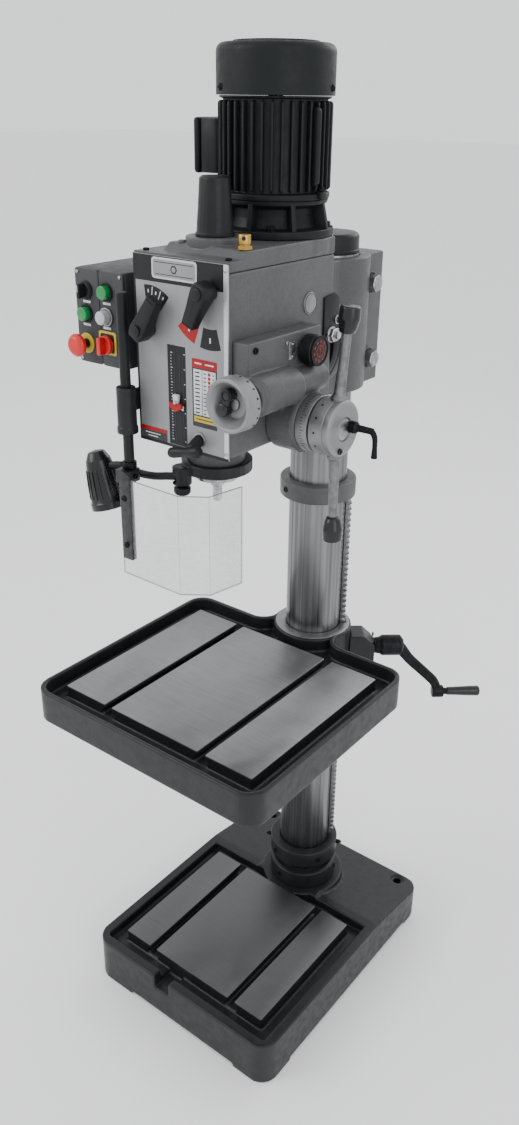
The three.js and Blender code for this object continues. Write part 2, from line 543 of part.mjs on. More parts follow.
function makeMotor(press) {
  const line = group(press, 0, MOTOR_Y, 0);
  const { base, bell, finTop, top, finR, coverR, flangeR } = MOTOR;
  const foot = base + GAP;
  const flange = spun([[36, foot], [flangeR, foot], [flangeR, foot + 11], [95, foot + 13], [85, bell - 9], [89, bell - 8],
    [89, bell], [14, bell], [14, bell - 10], [72, bell - 12], [82, foot + 14], [36, foot + 11], [36, foot]], "z", 0, 0, 32);
  piece(line, "motor_flange_bell", flange, motorPaint);

  const fins = [];
  const count = 24;
  for (let i = 0; i < count; i += 1) {
    for (const [r, part] of [[finR - 8, -0.34], [finR, -0.2], [finR, 0.2], [finR - 8, 0.34]]) {
      const angle = ((i + part) * 2 * Math.PI) / count;
      fins.push([r * Math.cos(angle), r * Math.sin(angle)]);
    }
  }
  const housing = cut(slab(outline(fins), bell + GAP, finTop), bar("z", 0, 0, 62, bell - 1, finTop + 1, 24));
  piece(line, "motor_housing", housing, motorPaint);

  const cover = spun([[coverR - 4, finTop + GAP], [coverR, finTop + GAP], [coverR, 1893], [91, 1903], [84, 1907], [69, 1911], [68, top],
    [0, top], [0, top - 4], [64, top - 4], [65, 1907], [81, 1903], [coverR - 4, 1890], [coverR - 4, finTop + GAP]], "z", 0, 0, 32);
  piece(line, "motor_fan_cover", cover, motorPaint);

  const box1 = join(box(-138, -96, -45, 45, 1722, 1808), box(-97, -80, -34, 34, 1732, 1798));
  piece(line, "motor_terminal_box", cut(box1, bar("z", 0, 0, finR + GAP, 1700, 1830, 48)), motorPaint);

  const blades = [0, 1, 2, 3].map((i) => {
    const blade = new THREE.BoxGeometry(58, 4, 26);
    return solid(blade.translate(39, 0, 1867).rotateZ((i * Math.PI) / 2));
  });
  const rotor = join(gear("z", 0, 0, TEETH.motor, GEAR_MODULE, 1573, 1597, 0.5), bar("z", 0, 0, 12, 1573, 1882, 18),
    bar("z", 0, 0, 50, 1705, 1825, 24), bar("z", 0, 0, 60, 1850, 1855, 24), ...blades);
  piece(line, "motor_rotor", rotor, steel);
}

// ---- feed ---------------------------------------------------------------------------------

function makeFeed(press) {
  const { y, z, hubR, hubIn, hubOut, teeth, module } = FEED;
  const shaft = join(gear("x", y, z, teeth, module, -12, 12), bar("x", y, z, 12, -12, hubOut - 4, 24));
  const wheel = cut(join(bar("x", y, z, WORM.wheelR, 130, 146, 32), bar("x", y, z, 22, 127, 149, 18)),
    bar("x", y, z, 12 + GAP, 126, 150, 24));
  piece(press, "feed_worm_wheel", wheel, steel);
  piece(press, "feed_pinion_shaft", shaft, steel);
  piece(press, "feed_scale_ring", tube("x", y, z, hubR + 1, 12 + GAP, hubIn, 177, 32), castSilver);
  const hub = cut(join(bar("x", y, z, hubR, 177 + GAP, hubOut, 32)), bar("x", y, z, 12 + GAP, 170, hubOut - 4 + GAP, 18));
  piece(press, "feed_hub", hub, castSilver);

  const rootX = 204;
  for (const [name, way] of [["feed_lever_upper", 1], ["feed_lever_lower", -1]]) {
    const reach = (d) => [rootX + 0.06 * (d - hubR), y + way * 0.055 * d, z + way * d];
    const rod = strut(reach(hubR - 4), reach(160), 9.5, 7.5, 16);
    const knob = join(strut(reach(155), reach(164), 14, 19, 18), strut(reach(164), reach(190), 19, 18, 18),
      strut(reach(190), reach(195), 18, 12, 18));
    const clear = bar("x", y, z, hubR + GAP, 170, 230, 32);
    piece(press, name, cut(join(rod, knob), clear), way > 0 ? castSilver : castSilver);
  }

  const lockY = y + 20;
  const lock = join(bar("x", lockY, z, 8, hubOut + GAP, hubOut + 12, 16), bar("x", lockY, z, 5.5, hubOut + 10, 262, 16),
    strut([260, lockY, z + 5], [266, lockY, z - 46], 6.5, 4.5));
  piece(press, "hub_lock_lever", lock, blackPlastic);

  const knob = join(bar("x", -250, 1473, 25, 134, 163, 24), bar("x", -250, 1473, 20, 131 + GAP, 134, 18));
  piece(press, "feed_rate_knob", knob, blackPlastic);
}

function makeHandwheel(press) {
  const { x, z, face, cupR, cupDepth, wormR } = WORM;
  const worm = join(bar("y", x, z, 10, face + 24, -229, 16), bar("y", x, z, wormR, -288, -230, 20));
  piece(press, "feed_worm_shaft", worm, steel);
  const cup = cut(bar("y", x, z, cupR, face, face + cupDepth, 32), bar("y", x, z, cupR - 10, face - 1, face + 20, 24),
    bar("y", x, z, 10 + GAP, face + 24 - GAP, face + cupDepth + 1, 16));
  piece(press, "fine_feed_handwheel", cup, castSilver);
  const handle = join(bar("y", x + 13, z + 12, 6.5, face + 5, face + 16, 16),
    strut([x + 13, face + 11, z + 12], [x - 14, face + 11, z - 12], 6.5, 7.5));
  piece(press, "handwheel_handle", handle, blackPlastic);
}

// ---- control box --------------------------------------------------------------------------

const BUTTONS = {
  selector: [-229, 1541], greenRight: [-181, 1543], greenLeft: [-232, 1502], white: [-183, 1502],
  stop: [-234, 1451], isolator: [-182, 1456],
};

function makeControlBox(press) {
  const { left, right, front, back, bottom, top } = CONTROL;
  const wall = 3;
  const shell = cut(slab(roundedRectangle(left, right, front, back, 5), bottom, top, 3),
    box(left + wall, right - wall, front + wall, back - wall, bottom + wall, top - wall));
  const holes = Object.values(BUTTONS).map(([x, z]) => bar("y", x, z, 8 + GAP, front - 1, front + 5, 12));
  const bracket = cut(box(right - 1, -HEAD.halfX - GAP, -350, -245, bottom + 8, top - 8),
    box(right + 5, -HEAD.halfX + 1, -344, -251, bottom + 14, top - 14));
  piece(press, "control_box", join(cut(shell, ...holes), bracket), boxGrey);

  const cap = (name, [x, z], body, material) => {
    const spot = group(press, x, front, z);
    piece(spot, name, join(bar("y", 0, 0, 8, -10, 12, 12), ...body), material);
  };
  cap("selector_knob", BUTTONS.selector, [bar("y", 0, 0, 14, -8, -GAP, 18), box(-14, 14, -22, -7, -6, 6)], blackPlastic);
  cap("start_button", BUTTONS.greenRight, [bar("y", 0, 0, 12.5, -14, -5, 18)], buttonGreen);
  cap("jog_button", BUTTONS.greenLeft, [bar("y", 0, 0, 12.5, -14, -5, 18)], buttonGreen);
  cap("coolant_button", BUTTONS.white, [bar("y", 0, 0, 12.5, -18, -5, 18)], buttonWhite);
  cap("stop_button", BUTTONS.stop, [bar("y", 0, 0, 10, -22, -8, 18), bar("y", 0, 0, 20, -34, -20, 18)], buttonRed);
  cap("isolator_knob", BUTTONS.isolator, [bar("y", 0, 0, 17, -10, -GAP, 18), box(-7, 7, -26, -9, -17, 17)], buttonRed);
}

// ---- lamp and guard -----------------------------------------------------------------------

function makeLamp(press) {
  const [lugX, lugY] = RING.lug;
  const ring = cut(join(bar("z", 0, SPINDLE_Y, RING.r, RING.bottom, RING.top, 32), bar("z", lugX, lugY, RING.lugR, RING.lugBottom, 1270, 18)),
    bar("z", 0, SPINDLE_Y, QUILL.bossR + GAP, RING.lugBottom - 1, RING.top + 1, 32));
  const slot = join(bar("z", lugX, lugY, 11, 1241, 1257, 16), box(lugX - 34, lugX, lugY - 30, lugY + 17, 1241, 1257));
  const pinHole = bar("z", lugX, lugY, 5 + GAP, 1230, 1263, 16);
  piece(press, "lamp_ring", cut(ring, slot, pinHole), darkPaint);
  const knob = join(bar("z", lugX, lugY, 5, 1230, 1262, 16), bar("z", lugX, lugY, 9, 1232, RING.lugBottom - GAP, 16),
    bar("z", lugX, lugY, 14, 1219, 1234, 18));
  piece(press, "ring_clamp_knob", knob, blackPlastic);

  const eye = cut(bar("z", lugX, lugY, 10.5, 1241 + GAP, 1257 - GAP, 16), bar("z", lugX, lugY, 5 + GAP, 1240, 1258, 16));
  const bends = [[lugX - 8, lugY, 1249], [-55, -383, 1247], [-82, -391, 1243], [-119, -396, 1243], [-143, -404, 1252],
    [-167.3, -411.3, 1248.6]];
  const arm = bentRod(bends, 7, 12);
  piece(press, "lamp_arm", join(eye, cut(arm, bar("z", lugX, lugY, 8, 1230, 1260, 16))), blackPlastic);

  const head = group(press, -191.6, -412.6, 1238.6);
  head.rotation.set(degrees(-7.2), degrees(-22.3), 0);
  const shade = spun([[0, 33], [15, 31], [20, 20], [22, 4], [28, -40], [33, -72], [31, -72], [25, -40], [18, -10], [0, -6]], "z", 0, 0, 18);
  const spud = bar("x", 0, 0, 6, 10, 23, 12);
  piece(head, "lamp_shade", cut(join(shade, spud), bar("z", 0, 0, 17, -60, -14, 16)), blackPlastic);
}

function makeGuard(press) {
  const { x, y, r, bottom, top } = POST;
  const sleeve = join(tube("z", x, y, 16.5, r + GAP, 1336, 1404, 24), tube("z", x, y, 18, r + GAP, 1325, 1336, 24),
    cut(box(x - 6, -HEAD.halfX - GAP, y, -330, 1362, 1396), bar("z", x, y, r + 2, 1350, 1410, 24)));
  piece(press, "guard_sleeve", sleeve, blackPlastic);
  piece(press, "guard_post", bar("z", x, y, r, bottom, top, 18), blackPlastic);

  const block = cut(box(x - 14, x + 14, y - 13, y + 12, 1238, 1262), bar("z", x, y, r + GAP, bottom - GAP, 1270, 18));
  const plate = box(x - 8, x + 15, y - 16, y - 12, 1100, 1262);
  const lip = box(x - 8, x - 5, y - 16, y, 1100, 1240);
  piece(press, "guard_strip", join(block, plate, lip), steel);

  const line = [[x - 6, y - 19], [24, y - 22], [66, y + 8], [78, y + 79]];
  piece(press, "chip_guard", wall(line, GUARD.thick, GUARD.bottom, GUARD.top), clearPlastic);
}

// ---- assembly -----------------------------------------------------------------------------

const machine = new THREE.Group();
const press = group(machine, ...COLUMN_AT, 0);
makeBase(press);
makeColumn(press);
makeTable(press);
makeElevation(press);
makeHeadCasting(press);
makeTopCover(press);
makeFeedGearbox(press);
makeNeckCover(press);
makeFrontPanel(press);
makeControls(press);
makeSpindle(press);
makeCountershaft(press);
makeMotor(press);
makeFeed(press);
makeHandwheel(press);
makeControlBox(press);
makeLamp(press);
makeGuard(press);

export default machine;
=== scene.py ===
"""A floor-standing geared-head drill press. Sizes are in millimetres from the column's axis and the
floor until make() turns them into metres in the row frame."""

import math

import bmesh
import bpy
from mathutils import Matrix, Vector


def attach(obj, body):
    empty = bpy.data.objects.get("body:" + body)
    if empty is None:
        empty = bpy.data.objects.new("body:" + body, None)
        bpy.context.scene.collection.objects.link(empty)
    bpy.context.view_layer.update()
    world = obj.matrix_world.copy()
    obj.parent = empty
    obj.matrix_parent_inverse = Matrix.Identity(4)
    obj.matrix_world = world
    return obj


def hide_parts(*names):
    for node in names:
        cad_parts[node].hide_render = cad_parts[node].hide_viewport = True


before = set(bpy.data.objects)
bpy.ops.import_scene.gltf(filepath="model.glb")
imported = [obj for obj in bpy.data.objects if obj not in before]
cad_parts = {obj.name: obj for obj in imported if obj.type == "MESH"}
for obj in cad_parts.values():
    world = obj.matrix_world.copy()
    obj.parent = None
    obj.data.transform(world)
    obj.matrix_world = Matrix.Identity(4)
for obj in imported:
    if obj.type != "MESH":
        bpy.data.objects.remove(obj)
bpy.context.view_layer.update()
# The column's axis in the row frame, and how far round it the rack stands.
COLUMN_X, COLUMN_Y = -16.0, 148.0
RACK_TURN = 40.0

# Centre lines: (x, y) of an upright one, (y, z) of one along X, (x, z) of one along Y.
SPINDLE = (0, -317)
MOTOR = (0, -165)
FILLER = (84, -348)
POST = (-106, -424)
RING_LUG = (-28, -377)
HUB = (-257, 1356)
RATE_DIAL = (-250, 1473)
SIGHT = (-192.6, 1532.7)
NECK = (0, 1455)
WHEEL = (138, 1424)
QUILL_LOCK = (37, 1337)
STOP = (-234, 1451)

CAMERA_X, CAMERA_Y, CAMERA_Z = 1021.408, -1523.719, 1837.464
YAW, PITCH, ROLL = 0.654364, 0.450450, -0.012372
LENS = 30.75488

# Every material by its short name.
M = {}


# ---- objects -------------------------------------------------------------------------------


def new_object(name, data):
    obj = bpy.data.objects.new(name, data)
    bpy.context.collection.objects.link(obj)
    return obj


def new_mesh(name, bm):
    mesh = bpy.data.meshes.new(name)
    bm.to_mesh(mesh)
    bm.free()
    return mesh


def modify(obj, name, kind, **settings):
    modifier = obj.modifiers.new(name, kind)
    for key, value in settings.items():
        setattr(modifier, key, value)


# ---- camera and light ----------------------------------------------------------------------


def aim_camera():
    ahead = Vector((-math.sin(YAW) * math.cos(PITCH), math.cos(YAW) * math.cos(PITCH), -math.sin(PITCH)))
    level = ahead.cross(Vector((0, 0, 1))).normalized()
    under = ahead.cross(level)
    right = math.cos(ROLL) * level + math.sin(ROLL) * under
    down = -math.sin(ROLL) * level + math.cos(ROLL) * under
    cam = new_object("camera", bpy.data.cameras.new("camera"))
    turn = Matrix((right, -down, -ahead)).transposed().to_4x4()
    at = Vector((CAMERA_X + COLUMN_X, CAMERA_Y + COLUMN_Y, CAMERA_Z)) * 0.001
    cam.matrix_world = Matrix.Translation(at) @ turn
    cam.data.sensor_width = 36.0
    cam.data.lens = LENS
    cam.data.clip_end = 200.0
    bpy.context.scene.camera = cam


def area_light(name, at, size, power):
    light = bpy.data.lights.new(name, "AREA")
    light.shape = "RECTANGLE"
    light.size, light.size_y = size
    light.energy = power
    obj = new_object(name, light)
    way = Vector((0, 0, 1.1)) - Vector(at)
    obj.location = at
    obj.rotation_euler = way.to_track_quat("-Z", "Y").to_euler()


def light_scene():
    world = bpy.data.worlds.new("studio")
    bpy.context.scene.world = world
    world.use_nodes = True
    shade = world.node_tree.nodes["Background"]
    shade.inputs["Color"].default_value = (0.98, 0.99, 1.0, 1)
    shade.inputs["Strength"].default_value = 1.3
    area_light("key", (-2.6, -3.0, 3.6), (2.4, 2.4), 90)
    area_light("fill", (3.4, -1.6, 2.6), (2.0, 3.0), 40)
    area_light("back", (0.5, 3.4, 3.2), (3.0, 1.6), 40)


# ---- shape helpers -------------------------------------------------------------------------


def place(axis, u, v, a, b, h):
    """The point (a, b) from a centre line through (u, v), at height h along the axis."""
    if axis == "x":
        return (h, u + a, v + b)
    if axis == "y":
        return (u + a, h, v + b)
    return (u + a, v + b, h)


def polar(u, v, r, t):
    return u + r * math.cos(t), v + r * math.sin(t)


def tidy(bm):
    bmesh.ops.remove_doubles(bm, verts=bm.verts, dist=1e-4)
    bmesh.ops.recalc_face_normals(bm, faces=bm.faces)
    return bm


def fillet(points, r=1.0, n=3, closed=False):
    """Rounds a line's corners. A third number in a point is that corner's own radius."""
    out = []
    count = len(points)
    for i, p in enumerate(points):
        radius = p[2] if len(p) > 2 else r
        b = Vector(p[:2])
        if radius <= 0 or (not closed and i in (0, count - 1)):
            out.append((b.x, b.y))
            continue
        u = Vector(points[i - 1][:2]) - b
        w = Vector(points[(i + 1) % count][:2]) - b
        if u.length < 1e-5 or w.length < 1e-5:
            out.append((b.x, b.y))
            continue
        lu, lw = u.length, w.length
        u /= lu
        w /= lw
        angle = u.angle(w)
        if angle > 3.12 or angle < 0.02:
            out.append((b.x, b.y))
            continue
        reach = min(radius / math.tan(angle / 2), lu * 0.49, lw * 0.49)
        real = reach * math.tan(angle / 2)
        middle = b + (u + w).normalized() * (real / math.sin(angle / 2))
        start = b + u * reach - middle
        end = b + w * reach - middle
        a0 = math.atan2(start.y, start.x)
        turn = (math.atan2(end.y, end.x) - a0 + math.pi) % (2 * math.pi) - math.pi
        for s in range(n + 1):
            t = a0 + turn * s / n
            out.append(polar(*middle, real, t))
    return out


def inset(outline, d):
    """An outline moved inwards by d, its corners kept sharp."""
    area = sum(outline[i - 1][0] * p[1] - p[0] * outline[i - 1][1] for i, p in enumerate(outline))
    side = 1 if area > 0 else -1
    out = []
    for i, p in enumerate(outline):
        b = Vector(p)
        e1 = b - Vector(outline[i - 1])
        e2 = Vector(outline[(i + 1) % len(outline)]) - b
        if e1.length < 1e-6:
            e1 = e2.copy()
        if e2.length < 1e-6:
            e2 = e1.copy()
        e1.normalize()
        e2.normalize()
        n1 = Vector((-e1.y, e1.x)) * side
        n2 = Vector((-e2.y, e2.x)) * side
        m = (n1 + n2) if (n1 + n2).length > 1e-6 else n1
        m.normalize()
        q = b + m * (d / max(0.4, m.dot(n1)))
        out.append((q.x, q.y))
    return out


def loft(rings):
    """A skin over rings of equal count, capped at both ends."""
    bm = bmesh.new()
    made = [[bm.verts.new(p) for p in line] for line in rings]
    for a, b in zip(made, made[1:]):
        for i in range(len(a)):
            j = (i + 1) % len(a)
            bm.faces.new((a[i], a[j], b[j], b[i]))
    bm.faces.new(made[0][::-1])
    bm.faces.new(made[-1])
    return tidy(bm)


def prism(outline, h0, h1, axis="z", edge=0.8, n=2):
    """An outline raised between two heights, its end edges rounded."""
    turns = [math.pi / 2 * s / n for s in range(n + 1)]
    rings = []
    for end, way, order in ((h0, 1, turns), (h1, -1, turns[::-1])):
        for t in order:
            h = end + way * edge * (1 - math.cos(t))
            line = inset(outline, edge * (1 - math.sin(t)))
            rings.append([place(axis, 0, 0, x, y, h) for x, y in line])
    return loft(rings)


def rectangle(x0, x1, y0, y1, r=2.0, n=3):
    return fillet([(x0, y0), (x1, y0), (x1, y1), (x0, y1)], r, n, True)


def rbox(x0, x1, y0, y1, z0, z1, r=2.0, n=3, edge=None):
    return prism(rectangle(x0, x1, y0, y1, r, n), z0, z1, edge=min(r, 2.5) if edge is None else edge)


def lathe(profile, axis="z", u=0.0, v=0.0, seg=64, wave=None):
    """A profile of (radius, height) turned about a centre line; wave(angle, height) swells it."""
    bm = bmesh.new()
    rings = []
    for r, h in profile:
        if r < 1e-4:
            rings.append([bm.verts.new(place(axis, u, v, 0, 0, h))])
            continue
        ring = []
        for i in range(seg):
            a = 2 * math.pi * i / seg
            q = r * (1 + wave(a, h)) if wave else r
            ring.append(bm.verts.new(place(axis, u, v, q * math.cos(a), q * math.sin(a), h)))
        rings.append(ring)
    for a, b in zip(rings, rings[1:]):
        for i in range(seg):
            j = (i + 1) % seg
            if len(a) == 1 and len(b) == 1:
                continue
            if len(a) == 1:
                bm.faces.new((a[0], b[j], b[i]))
            elif len(b) == 1:
                bm.faces.new((a[i], a[j], b[0]))
            else:
                bm.faces.new((a[i], a[j], b[j], b[i]))
    return tidy(bm)


def flutes(count, depth, lo, hi):
    """Ripples round a turned piece between two heights, as a wave for lathe."""
    return lambda a, h: depth * math.cos(count * a) if lo < h < hi else 0.0


def turning(points, r, n, axis="z", u=0.0, v=0.0, seg=64, wave=None):
    """A turned piece whose profile has rounded corners."""
    return lathe(fillet(points, r, n), axis, u, v, seg, wave)


def plate(points, r, n, h0, h1, axis="z", edge=0.8, steps=2):
    """An outline with rounded corners, raised between two heights."""
    return prism(fillet(points, r, n, True), h0, h1, axis, edge, steps)


def hollow(points, r, n, axis="z", u=0.0, v=0.0, seg=96):
    """A turned piece with a bore: its profile comes back to its first corner."""
    return lathe(fillet(points, r, n, True) + [points[0][:2]], axis, u, v, seg)


def cyl(axis, u, v, r, h0, h1, edge=0.8, seg=48, n=2):
    lo, hi = min(h0, h1), max(h0, h1)
    return lathe(fillet([(0, lo), (r, lo), (r, hi), (0, hi)], edge, n), axis, u, v, seg)


def ring(axis, u, v, r, inner, h0, h1, edge=0.8, seg=48):
    lo, hi = min(h0, h1), max(h0, h1)
    line = fillet([(inner, lo), (r, lo), (r, hi), (inner, hi)], edge, 2, True)
    return lathe(line + [line[0]], axis, u, v, seg)


def polygon_bar(axis, u, v, sides, across, h0, h1, edge=0.7, turn=0.0):
    r = across / 2 / math.cos(math.pi / sides)
    line = [polar(u, v, r, 2 * math.pi * (i + turn) / sides) for i in range(sides)]
    return prism(line, min(h0, h1), max(h0, h1), axis, edge, 1)


def tube(points, r, seg=18, steps=8, squeeze=1.0):
    """A rod along a smooth line. r is one radius or one for each point."""
    radii = r if isinstance(r, (list, tuple)) else [r] * len(points)
    p = [Vector(q) for q in points]
    p = [p[0] * 2 - p[1]] + p + [p[-1] * 2 - p[-2]]
    radii = [radii[0]] + list(radii) + [radii[-1]]
    line, size = [], []
    for i in range(1, len(p) - 2):
        for s in range(steps + (i == len(p) - 3)):
            t = s / steps
            a, b, c, d = p[i - 1:i + 3]
            bend = (2 * a - 5 * b + 4 * c - d) * t * t
            line.append(0.5 * (2 * b + (c - a) * t + bend + (3 * b - a - 3 * c + d) * t ** 3))
            size.append(radii[i] * (1 - t) + radii[i + 1] * t)
    ahead = (line[1] - line[0]).normalized()
    side = ahead.orthogonal().normalized()
    rings = []
    for i, q in enumerate(line):
        new = (line[min(i + 1, len(line) - 1)] - line[max(i - 1, 0)]).normalized()
        side = (side - new * side.dot(new)).normalized()
        up = new.cross(side)
        turns = [2 * math.pi * k / seg for k in range(seg)]
        rings.append([tuple(q + side * size[i] * math.cos(t) + up * size[i] * squeeze * math.sin(t))
                      for t in turns])
    return loft(rings)


def stick(start, end, profile, seg=36):
    """A turned piece whose axis runs from start to end; its profile's heights count from start."""
    bm = lathe(profile, seg=seg)
    way = Vector(end) - Vector(start)
    turn = Vector((0, 0, 1)).rotation_difference(way).to_matrix()
    bmesh.ops.rotate(bm, verts=bm.verts, matrix=turn)
    bmesh.ops.translate(bm, verts=bm.verts, vec=start)
    return bm


def peg(start, end, r, tall, seg):
    """A plain round bar that starts at one point and heads for another."""
    return stick(start, end, [(0, 0), (r, 0), (r, tall), (0, tall)], seg)


def spin(bm, degrees, axis="Z", at=(0, 0, 0)):
    bmesh.ops.rotate(bm, verts=bm.verts, cent=at, matrix=Matrix.Rotation(math.radians(degrees), 3, axis))
    return bm


def shift(bm, x=0.0, y=0.0, z=0.0):
    bmesh.ops.translate(bm, verts=bm.verts, vec=(x, y, z))
    return bm


def tint(bm, index):
    for f in bm.faces:
        f.material_index = index
    return bm


def both(first, *others):
    """The first mesh with the others joined to it."""
    for bm in others:
        mesh = new_mesh("part", bm)
        first.from_mesh(mesh)
        bpy.data.meshes.remove(mesh)
    return first


def add(first, index, *others):
    """Joins others to the first mesh, in its material of that number."""
    return both(first, *[tint(bm, index) for bm in others])


def to_row(bm):
    matrix = Matrix.Scale(0.001, 4) @ Matrix.Translation((COLUMN_X, COLUMN_Y, 0))
    bmesh.ops.transform(bm, matrix=matrix, verts=bm.verts)
    return bm


def baked(obj):
    """Applies an object's modifiers to its mesh."""
    bpy.context.view_layer.update()
    mesh = bpy.data.meshes.new_from_object(obj.evaluated_get(bpy.context.evaluated_depsgraph_get()))
    old = obj.data
    obj.modifiers.clear()
    obj.data = mesh
    bpy.data.meshes.remove(old)
    return obj


def shade(mesh, angle):
    mesh.shade_smooth()
    mesh.set_sharp_from_angle(angle=math.radians(angle))


def carve(solid, cutter):
    """A solid minus another, through Blender's exact boolean."""
    objs = [new_object("cut", new_mesh("cut", bm)) for bm in (solid, cutter)]
    modify(objs[0], "cut", "BOOLEAN", operation="DIFFERENCE", solver="EXACT", object=objs[1])
    out = bmesh.new()
    out.from_mesh(baked(objs[0]).data)
    for obj in objs:
        mesh = obj.data
        bpy.data.objects.remove(obj)
        bpy.data.meshes.remove(mesh)
    return out


def finish_object(name, mesh, materials, body, stands_for, angle):
    obj = new_object(name, mesh)
    for material in [materials] if isinstance(materials, str) else materials:
        mesh.materials.append(M[material])
    shade(mesh, angle)
    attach(obj, body)
    if stands_for:
        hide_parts(stands_for)


def make(name, bm, materials, body="frame", stands_for=None, angle=35):
    """A visible piece from a mesh in millimetres. It may stand for a CAD node."""
    finish_object(name, new_mesh(name, to_row(bm)), materials, body, stands_for, angle)


def cast(name, node, voxel, rounds, material, body="frame", extra=None):
    """A cast form of a CAD node: its solid, with what extra adds, its corners and joints run together."""
    bm = bmesh.new()
    bm.from_mesh(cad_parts[node].data)
    if extra:
        both(bm, to_row(extra))
    obj = new_object(name, new_mesh(name, bm))
    modify(obj, "cast", "REMESH", mode="VOXEL", voxel_size=voxel * 0.001)
    modify(obj, "soft", "SMOOTH", factor=0.5, iterations=rounds)
    baked(obj)
    mesh = obj.data
    bpy.data.objects.remove(obj)
    finish_object(name, mesh, material, body, node, 60)


# ---- materials -----------------------------------------------------------------------------


class Finish:
    """A procedural material: one Principled shader with its texture nodes."""

    def __init__(self, name, color, rough, metal=0.0, coat=0.0, spec=0.5):
        self.mat = bpy.data.materials.new(name)
        self.mat.use_nodes = True
        self.mat.diffuse_color = (*color, 1)
        self.tree = self.mat.node_tree
        self.shader = self.tree.nodes["Principled BSDF"]
        self.color = color
        self.rough = rough
        self.set("Base Color", (*color, 1))
        self.set("Roughness", rough)
        self.set("Metallic", metal)
        self.set("Specular IOR Level", spec)
        self.set("Coat Weight", coat)
        self.set("Coat Roughness", 0.25)
        self.height = None

    def set(self, socket, value):
        self.shader.inputs[socket].default_value = value
        return self

    def node(self, kind, **values):
        n = self.tree.nodes.new(kind)
        for key, value in values.items():
            if hasattr(n, key):
                setattr(n, key, value)
            else:
                n.inputs[key.replace("_", " ")].default_value = value
        return n

    def link(self, a, b):
        self.tree.links.new(a, b)

    def coords(self, scale=(1, 1, 1)):
        where = self.node("ShaderNodeTexCoord")
        mapping = self.node("ShaderNodeMapping")
        mapping.inputs["Scale"].default_value = scale
        self.link(where.outputs["Object"], mapping.inputs["Vector"])
        return mapping.outputs["Vector"]

    def around(self, axis, u, v):
        """(angle, radius, height) about an axis, for turned and drawn surfaces."""
        where = self.node("ShaderNodeTexCoord")
        parts = self.node("ShaderNodeSeparateXYZ")
        self.link(where.outputs["Object"], parts.inputs[0])
        first, second, along, du, dv = {
            "x": ("Y", "Z", "X", COLUMN_Y, 0),
            "y": ("X", "Z", "Y", COLUMN_X, 0),
            "z": ("X", "Y", "Z", COLUMN_X, COLUMN_Y),
        }[axis]
        a = self.math("SUBTRACT", parts.outputs[first], (u + du) * 0.001)
        b = self.math("SUBTRACT", parts.outputs[second], (v + dv) * 0.001)
        square = self.math("ADD", self.math("MULTIPLY", a, a), self.math("MULTIPLY", b, b))
        return self.math("ARCTAN2", b, a), self.math("SQRT", square), parts.outputs[along]

    def feed(self, n, values):
        """Gives a node's inputs numbers or links, in order, and returns its first output."""
        for i, value in enumerate(values):
            if isinstance(value, (int, float)):
                n.inputs[i].default_value = value
            else:
                self.link(value, n.inputs[i])
        return n.outputs[0]

    def math(self, operation, a, b=0.0):
        return self.feed(self.node("ShaderNodeMath", operation=operation), (a, b))

    def blend(self, a, share, b):
        return self.math("ADD", self.math("MULTIPLY", a, share), self.math("MULTIPLY", b, 1 - share))

    def combine(self, *parts):
        return self.feed(self.node("ShaderNodeCombineXYZ"), parts)

    def noise(self, vector, scale, detail=2.0, rough=0.5):
        n = self.node("ShaderNodeTexNoise", Scale=scale, Detail=detail, Roughness=rough)
        self.link(vector, n.inputs["Vector"])
        return n.outputs[0]

    def remap(self, value, lo, hi, to_lo, to_hi):
        return self.feed(self.node("ShaderNodeMapRange"), (value, lo, hi, to_lo, to_hi))

    def vary_color(self, value, dark=0.8, light=1.2, lo=0.35, hi=0.65):
        ramp = self.node("ShaderNodeMix", data_type="RGBA")
        ramp.inputs[6].default_value = (*[c * dark for c in self.color], 1)
        ramp.inputs[7].default_value = (*[min(1, c * light) for c in self.color], 1)
        self.link(self.remap(value, lo, hi, 0, 1), ramp.inputs[0])
        self.link(ramp.outputs[2], self.shader.inputs["Base Color"])
        return self

    def vary_rough(self, value, spread=0.08, lo=0.35, hi=0.65):
        self.link(self.remap(value, lo, hi, self.rough - spread, self.rough + spread),
                self.shader.inputs["Roughness"])
        return self

    def bump(self, value, strength, depth_mm):
        n = self.node("ShaderNodeBump", Strength=strength, Distance=depth_mm * 0.001)
        self.link(value, n.inputs["Height"])
        if self.height is not None:
            self.link(self.height, n.inputs["Normal"])
        self.height = n.outputs[0]
        self.link(self.height, self.shader.inputs["Normal"])
        return self


def cast_paint(name, color, rough, grain=260, depth=0.35, spec=0.5):
    """Painted cast iron: fine pits, slow waves and a cloudy colour."""
    f = Finish(name, color, rough, spec=spec)
    where = f.coords()
    pits = f.node("ShaderNodeTexVoronoi", feature="SMOOTH_F1", Scale=grain)
    f.link(where, pits.inputs["Vector"])
    f.bump(f.noise(where, 28, 3), 0.25, 0.8)
    f.bump(pits.outputs["Distance"], 0.45, depth)
    cloud = f.noise(where, 11, 4, 0.6)
    speck = f.noise(where, grain * 1.6, 2)
    f.vary_color(f.blend(cloud, 0.55, speck), 0.84, 1.16, 0.38, 0.62)
    return f.vary_rough(f.noise(where, 60, 3), 0.07).mat


def moulded(name, color, rough, grain=900, depth=0.05, coat=0.0, spec=0.5):
    f = Finish(name, color, rough, coat=coat, spec=spec)
    where = f.coords()
    f.bump(f.noise(where, grain, 2), 0.35, depth)
    f.vary_color(f.noise(where, 45, 3), 0.88, 1.12)
    return f.vary_rough(f.noise(where, 130, 3), 0.05).mat


